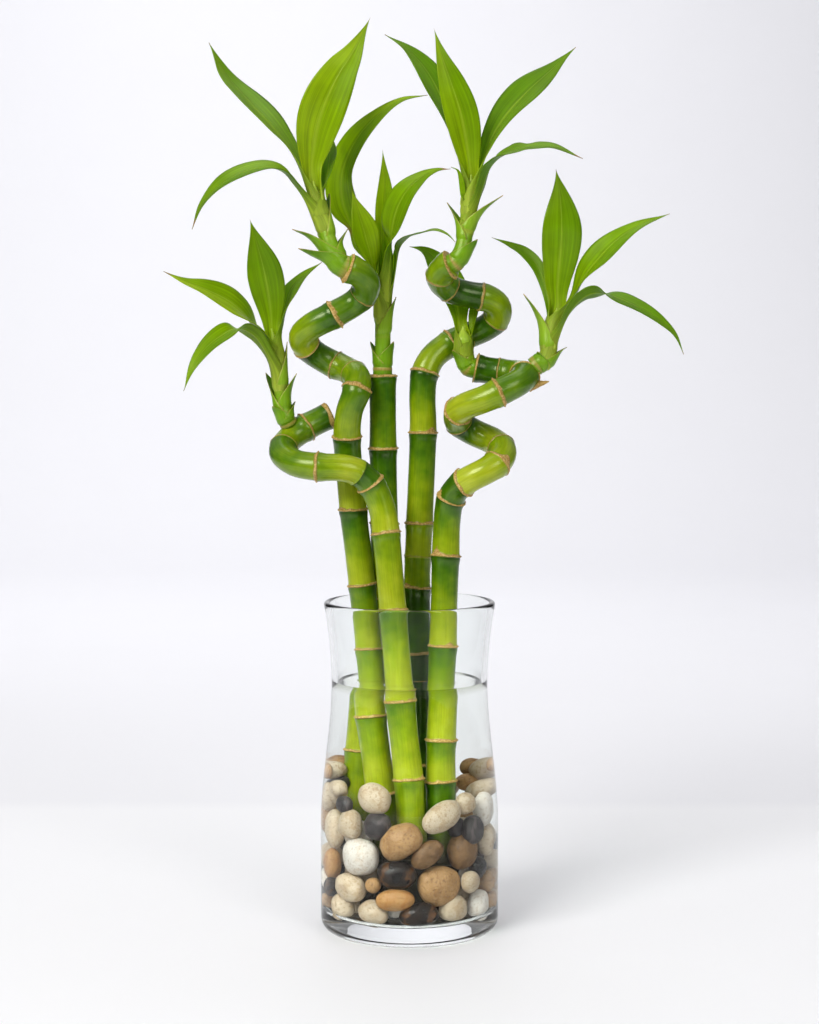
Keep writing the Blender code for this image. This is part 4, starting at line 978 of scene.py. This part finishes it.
# how the loose stones are drawn and dropped into the vase
pile = {"count": 134, "seed": 11, "smallest": 3.8, "largest": 8.0, "thick": (0.66, 0.86), "narrow": (0.78, 0.95),
        "spread": 31, "dropFrom": (14, 84), "top": 70.0, "rounds": 520, "fall": 0.12, "fallShare": 0.85,
        "passes": 2, "near": 20, "push": 0.45, "gap": 0.1, "caneTop": 95, "caneStep": 6, "caneGap": 0.4,
        "canePush": 0.8, "glassGap": 0.3, "floorGap": 0.2}
# how a stone is rounded: part square, with broad dents and a fine unevenness
tumble = {"heldDetail": 5, "looseDetail": 4, "square": 2.5, "squareShare": 0.3, "dent": 0.08, "dentSize": 1.1,
          "fine": 0.02, "fineSize": 2.6, "thick": 0.42, "thinnest": 4.2, "thickest": 6.2}


def tumbledStone(kind, spec):
    # river stone, tumbled and wet: fine mineral specks, a few broad veins, a soft polish
    material, tree, shader = newMaterial("tumbledStone" + kind.capitalize())
    place = addNode(tree, "TexCoord", out="Object")
    tint = addNode(tree, "Attribute", attribute_name="tint", out="Fac")
    # clouds 4 mm across, specks 0.8 mm, veins 4 mm apart
    cloud = addNode(tree, "TexNoise", {"Vector": place, "Scale": 260.0, "Detail": 6.0})
    speck = addNode(tree, "TexNoise", {"Vector": place, "Scale": 1000.0, "Detail": 3.0})
    warp = addNode(tree, "MixRGB", {0: 0.012, 1: place, 2: cloud}, blend_type="ADD")
    band = addNode(tree, "TexWave", {"Vector": warp, "Scale": 26.0, "Distortion": 7.0, "Detail": 3.0}, out="Fac")
    color = hexColor(spec["base"])
    for pattern, stops, paint in ((cloud, [(0.4, 0.0), (0.72, spec["cloud"])], spec["vein"]),
                                  (band, [(0.9, 0.0), (0.99, 0.6)], spec["vein"]),
                                  (speck, [(0.54, 0.0), (0.68, 0.7)], spec["speck"])):
        share = addNode(tree, "ValToRGB", {0: pattern}, stops)
        color = addNode(tree, "MixRGB", {0: share, 1: color, 2: paint})
    color = addNode(tree, "MixRGB", {0: 1.0, 1: color, 2: tint}, blend_type="MULTIPLY")
    rough = addNode(tree, "MapRange", {"Value": cloud, "To Min": spec["gloss"] - 0.08, "To Max": spec["gloss"] + 0.14})
    height = addNode(tree, "Math", {0: speck, 1: -0.35, 2: cloud}, operation="MULTIPLY_ADD")
    bump = addNode(tree, "Bump", {"Height": height, "Strength": 0.5, "Distance": 0.0009})
    setInputs(tree, shader, {"Base Color": color, "Roughness": rough, "Normal": bump, "Specular IOR Level": 0.3})
    return material


stoneSkins = {kind: tumbledStone(kind, spec) for kind, spec in pebbleKinds.items()}


def stoneReach(shapes, directions):
    # how far ellipsoids stretch along directions
    return np.sqrt(np.einsum("...i,...ij,...j->...", directions, shapes, directions))


def pileStones(held, draws):
    # drops the loose stones between the held ones, out of the canes and inside the glass; held ones stay
    places = np.array([stone["place"] for stone in held] + [stone["place"] for stone in draws], float)
    axes = np.array([stone["axes"] for stone in held + draws])
    halves = np.array([stone["halves"] for stone in held + draws])
    shapes = np.einsum("nij,nj,nkj->nik", axes, halves ** 2, axes)
    fixed = np.arange(len(places)) < len(held)
    first, second = np.triu_indices(len(places), 1)
    keep = ~(fixed[first] & fixed[second])
    first, second = first[keep], second[keep]
    weights = np.where(fixed, 0.0, 1.0)
    posts = []
    for route in caneRoutes.values():
        low = [route.at(d) for d in np.arange(0, pile["caneTop"], pile["caneStep"])]
        posts += [(np.array(a), np.array(b)) for a, b in zip(low, low[1:])]
    for turn in range(pile["rounds"]):
        if turn < pile["fallShare"] * pile["rounds"]:
            places[~fixed, 2] -= pile["fall"]
        for _ in range(pile["passes"]):
            between = places[second] - places[first]
            apart = np.linalg.norm(between, axis=1)
            close = apart < pile["near"]
            a, b, away = first[close], second[close], between[close] / apart[close, None]
            excess = stoneReach(shapes[a], away) + stoneReach(shapes[b], away) + pile["gap"] - apart[close]
            excess = np.maximum(excess, 0)
            share = weights[a] / (weights[a] + weights[b])
            push = np.zeros_like(places)
            np.add.at(push, a, -away * (excess * share)[:, None])
            np.add.at(push, b, away * (excess * (1 - share))[:, None])
            places += pile["push"] * push
            moved = places[~fixed]
            for foot, top in posts:
                axis = top - foot
                along = np.clip((moved - foot) @ axis / (axis @ axis), 0, 1)
                out = moved - foot - along[:, None] * axis
                far = np.linalg.norm(out, axis=1)
                out /= far[:, None]
                reach = caneBuild["radius"] + pile["caneGap"] + stoneReach(shapes[~fixed], out)
                moved += out * (pile["canePush"] * np.maximum(reach - far, 0))[:, None]
            radius = np.linalg.norm(moved[:, :2], axis=1)
            outward = np.zeros_like(moved)
            outward[:, :2] = moved[:, :2] / radius[:, None]
            bore = np.array([boreRadius(z) for z in moved[:, 2]])
            reach = radius + stoneReach(shapes[~fixed], outward) + pile["glassGap"]
            moved -= outward * np.maximum(reach - bore, 0)[:, None]
            rise = stoneReach(shapes[~fixed], np.broadcast_to((0.0, 0.0, 1.0), moved.shape))
            moved[:, 2] = np.maximum(moved[:, 2], vase["floor"] + pile["floorGap"] + rise)
            places[~fixed] = moved
    return places[~fixed]


def stoneShape(shape, stone, place, seed, tint, detail, kind=0):
    # one tumbled stone: a sphere pulled to its three sizes, with broad soft flats and dents
    made = bmesh.ops.create_icosphere(shape, subdivisions=detail, radius=1.0)["verts"]
    tintLayer = shape.verts.layers.float["tint"]
    axes, middle = Matrix(np.array(stone["axes"]).tolist()), Vector(place)
    for vert in made:
        direction = vert.co.normalized()
        broad = noise.noise(direction * tumble["dentSize"] + Vector((seed, 0, seed)))
        fine = noise.noise(direction * tumble["fineSize"] + Vector((0, seed, 0)))
        squared = sum(abs(c) ** tumble["square"] for c in direction) ** (-1 / tumble["square"])
        size = tumble["squareShare"] * squared + (1 - tumble["squareShare"])
        size *= 1 + tumble["dent"] * broad + tumble["fine"] * fine
        local = Vector([direction[i] * stone["halves"][i] * size for i in range(3)])
        vert.co = (axes @ local + middle) * mm
        vert[tintLayer] = tint
    for face in {face for vert in made for face in vert.link_faces}:
        face.material_index = kind


def lyingAxes(place, tilt, faceGlass=True):
    # a stone's thin way points at the glass
    tilted = Matrix.Rotation(-math.radians(tilt), 3, "Y")
    if faceGlass:
        tilted = Matrix.Rotation(math.atan2(place[0], -place[1]), 3, "Z") @ tilted
    return np.array(tilted)


def heldStones():
    stones = []
    for name, (width, height, tilt, right, rise) in frontPebbles.items():
        low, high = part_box("pebble_" + name)
        place = (low + high) / 2 / mm + Vector((right, 0, rise))
        thick = min(max(tumble["thick"] * min(width, height), tumble["thinnest"]), tumble["thickest"])
        stones.append({"name": name, "place": place, "axes": lyingAxes(place, tilt),
                       "halves": (width / 2, thick, height / 2)})
    return stones


def looseStones():
    draw = np.random.default_rng(pile["seed"])
    stones = []
    for _ in range(pile["count"]):
        angle, radius = draw.uniform(0, 2 * math.pi), pile["spread"] * math.sqrt(draw.uniform(0.05, 1))
        place = (radius * math.cos(angle), radius * math.sin(angle), draw.uniform(*pile["dropFrom"]))
        size = draw.uniform(pile["smallest"], pile["largest"])
        axes, _ = np.linalg.qr(draw.normal(size=(3, 3)))
        if np.linalg.det(axes) < 0:
            axes[:, 0] *= -1
        stones.append({"place": place, "axes": axes,
                       "halves": (size, size * draw.uniform(*pile["thick"]), size * draw.uniform(*pile["narrow"]))})
    return stones


def stoneMesh():
    shape = bmesh.new()
    shape.verts.layers.float.new("tint")
    return shape


def makePebbles():
    held, loose = heldStones(), looseStones()
    crown = [{"kind": kind, "place": place, "axes": lyingAxes(place, tilt, place[1] <= 0), "halves": halves}
             for kind, place, halves, tilt in smallStones]
    draw = random.Random(4)
    for number, stone in enumerate(held):
        name = "pebble_" + stone["name"]
        kind = stone["name"].split("_")[0]
        shape = stoneMesh()
        stoneShape(shape, stone, stone["place"], number * 3.7, draw.uniform(0.88, 1.06), tumble["heldDetail"])
        addPiece("stone_" + name, shape, [stoneSkins[kind]], "pebble_" + kind, name)
    places = pileStones(held + crown, loose)
    kinds = list(pebbleKinds)
    odds = [spec["share"] for spec in pebbleKinds.values()]
    shape = stoneMesh()
    for number, stone in enumerate(crown):
        stoneShape(shape, stone, stone["place"], 60 + number * 2.9, draw.uniform(0.85, 1.0),
                   tumble["looseDetail"], kinds.index(stone["kind"]))
    for number, (place, stone) in enumerate(zip(places, loose)):
        kind = draw.choices(range(len(kinds)), odds)[0]
        tint = draw.uniform(0.8, 1.05)
        # those in front of the held stones, or above the pile, are taken out again
        inFront = (place[1] < 2 and place[2] > 54) or place[1] < -15 or (place[0] < -22 and place[1] < -8)
        if place[2] + min(stone["halves"]) > pile["top"] or inFront:
            continue
        stoneShape(shape, stone, place, 100 + number * 2.3, tint, tumble["looseDetail"], kind)
    addPiece("stone_bed", shape, [stoneSkins[kind] for kind in kinds], "pebble_tan", "pebble_bed")


makePebbles()
print("pebbles piled")


# the water; overlap is how far it reaches into the glass, so that no gap shows
water = {"level": 112.5, "overlap": 0.12, "meniscus": 0.5, "reach": 0.7, "paintedMeniscusShadeReach": 0.5, "ior": 1.12,
         "rings": 60, "steps": 128}


def stillWater():
    # clean still water, clear as the glass; its surface climbs a little where it wets glass and cane, and there a
    # grey-green tint paints the dark line that the curved surface shows
    material, tree, shader = clearThing("stillWater", "#fafcfb", {"IOR": water["ior"]})
    # painted shade: the climbing rim of the surface is tinted grey-green
    paintedMeniscusShade = addNode(tree, "Attribute", attribute_name="paintedMeniscusShade", out="Fac")
    color = addNode(tree, "MixRGB", {0: paintedMeniscusShade, 1: "#fcfcfb", 2: "#c2c5b1"})
    setInputs(tree, shader, {"Base Color": color})
    return material


def makeWater():
    level, overlap, floor = water["level"], water["overlap"], vase["floor"]
    bottom, edge = floor + vase["innerCorner"], boreRadius(level) + overlap
    top = [(edge * i / water["rings"], level) for i in range(water["rings"])]
    sides = [(boreRadius(z) + overlap, z) for z in np.linspace(level, bottom, 30)]
    corner = arcPoints(boreRadius(floor), bottom, vase["innerCorner"] + overlap, 0, -90, 8)[1:]
    flat = [(boreRadius(floor) * i / 6, floor - overlap) for i in range(5, -1, -1)]
    shape = spinProfile(top + sides + corner + flat, water["steps"])
    crossings = [route.at(route.marks[int(np.argmin(abs(route.coords[:, 2] - level)))])
                 for route in caneRoutes.values()]
    paintedMeniscusShade = shape.verts.layers.float.new("paintedMeniscusShade")
    for vert in shape.verts:
        if vert.co.z < (level - 0.01) * mm:
            continue
        x, y = vert.co.x / mm, vert.co.y / mm
        near = edge - math.hypot(x, y)
        for spot in crossings:
            near = min(near, max(math.hypot(x - spot.x, y - spot.y) - caneBuild["radius"], 0.0))
        vert.co.z += water["meniscus"] * math.exp(-near / water["reach"]) * mm
        # how much painted shade the tint puts on this point of the surface
        vert[paintedMeniscusShade] = math.exp(-near / water["paintedMeniscusShadeReach"])
    addPiece("stillWater", shape, [stillWater()], "water", "water")


makeWater()
print("water poured")
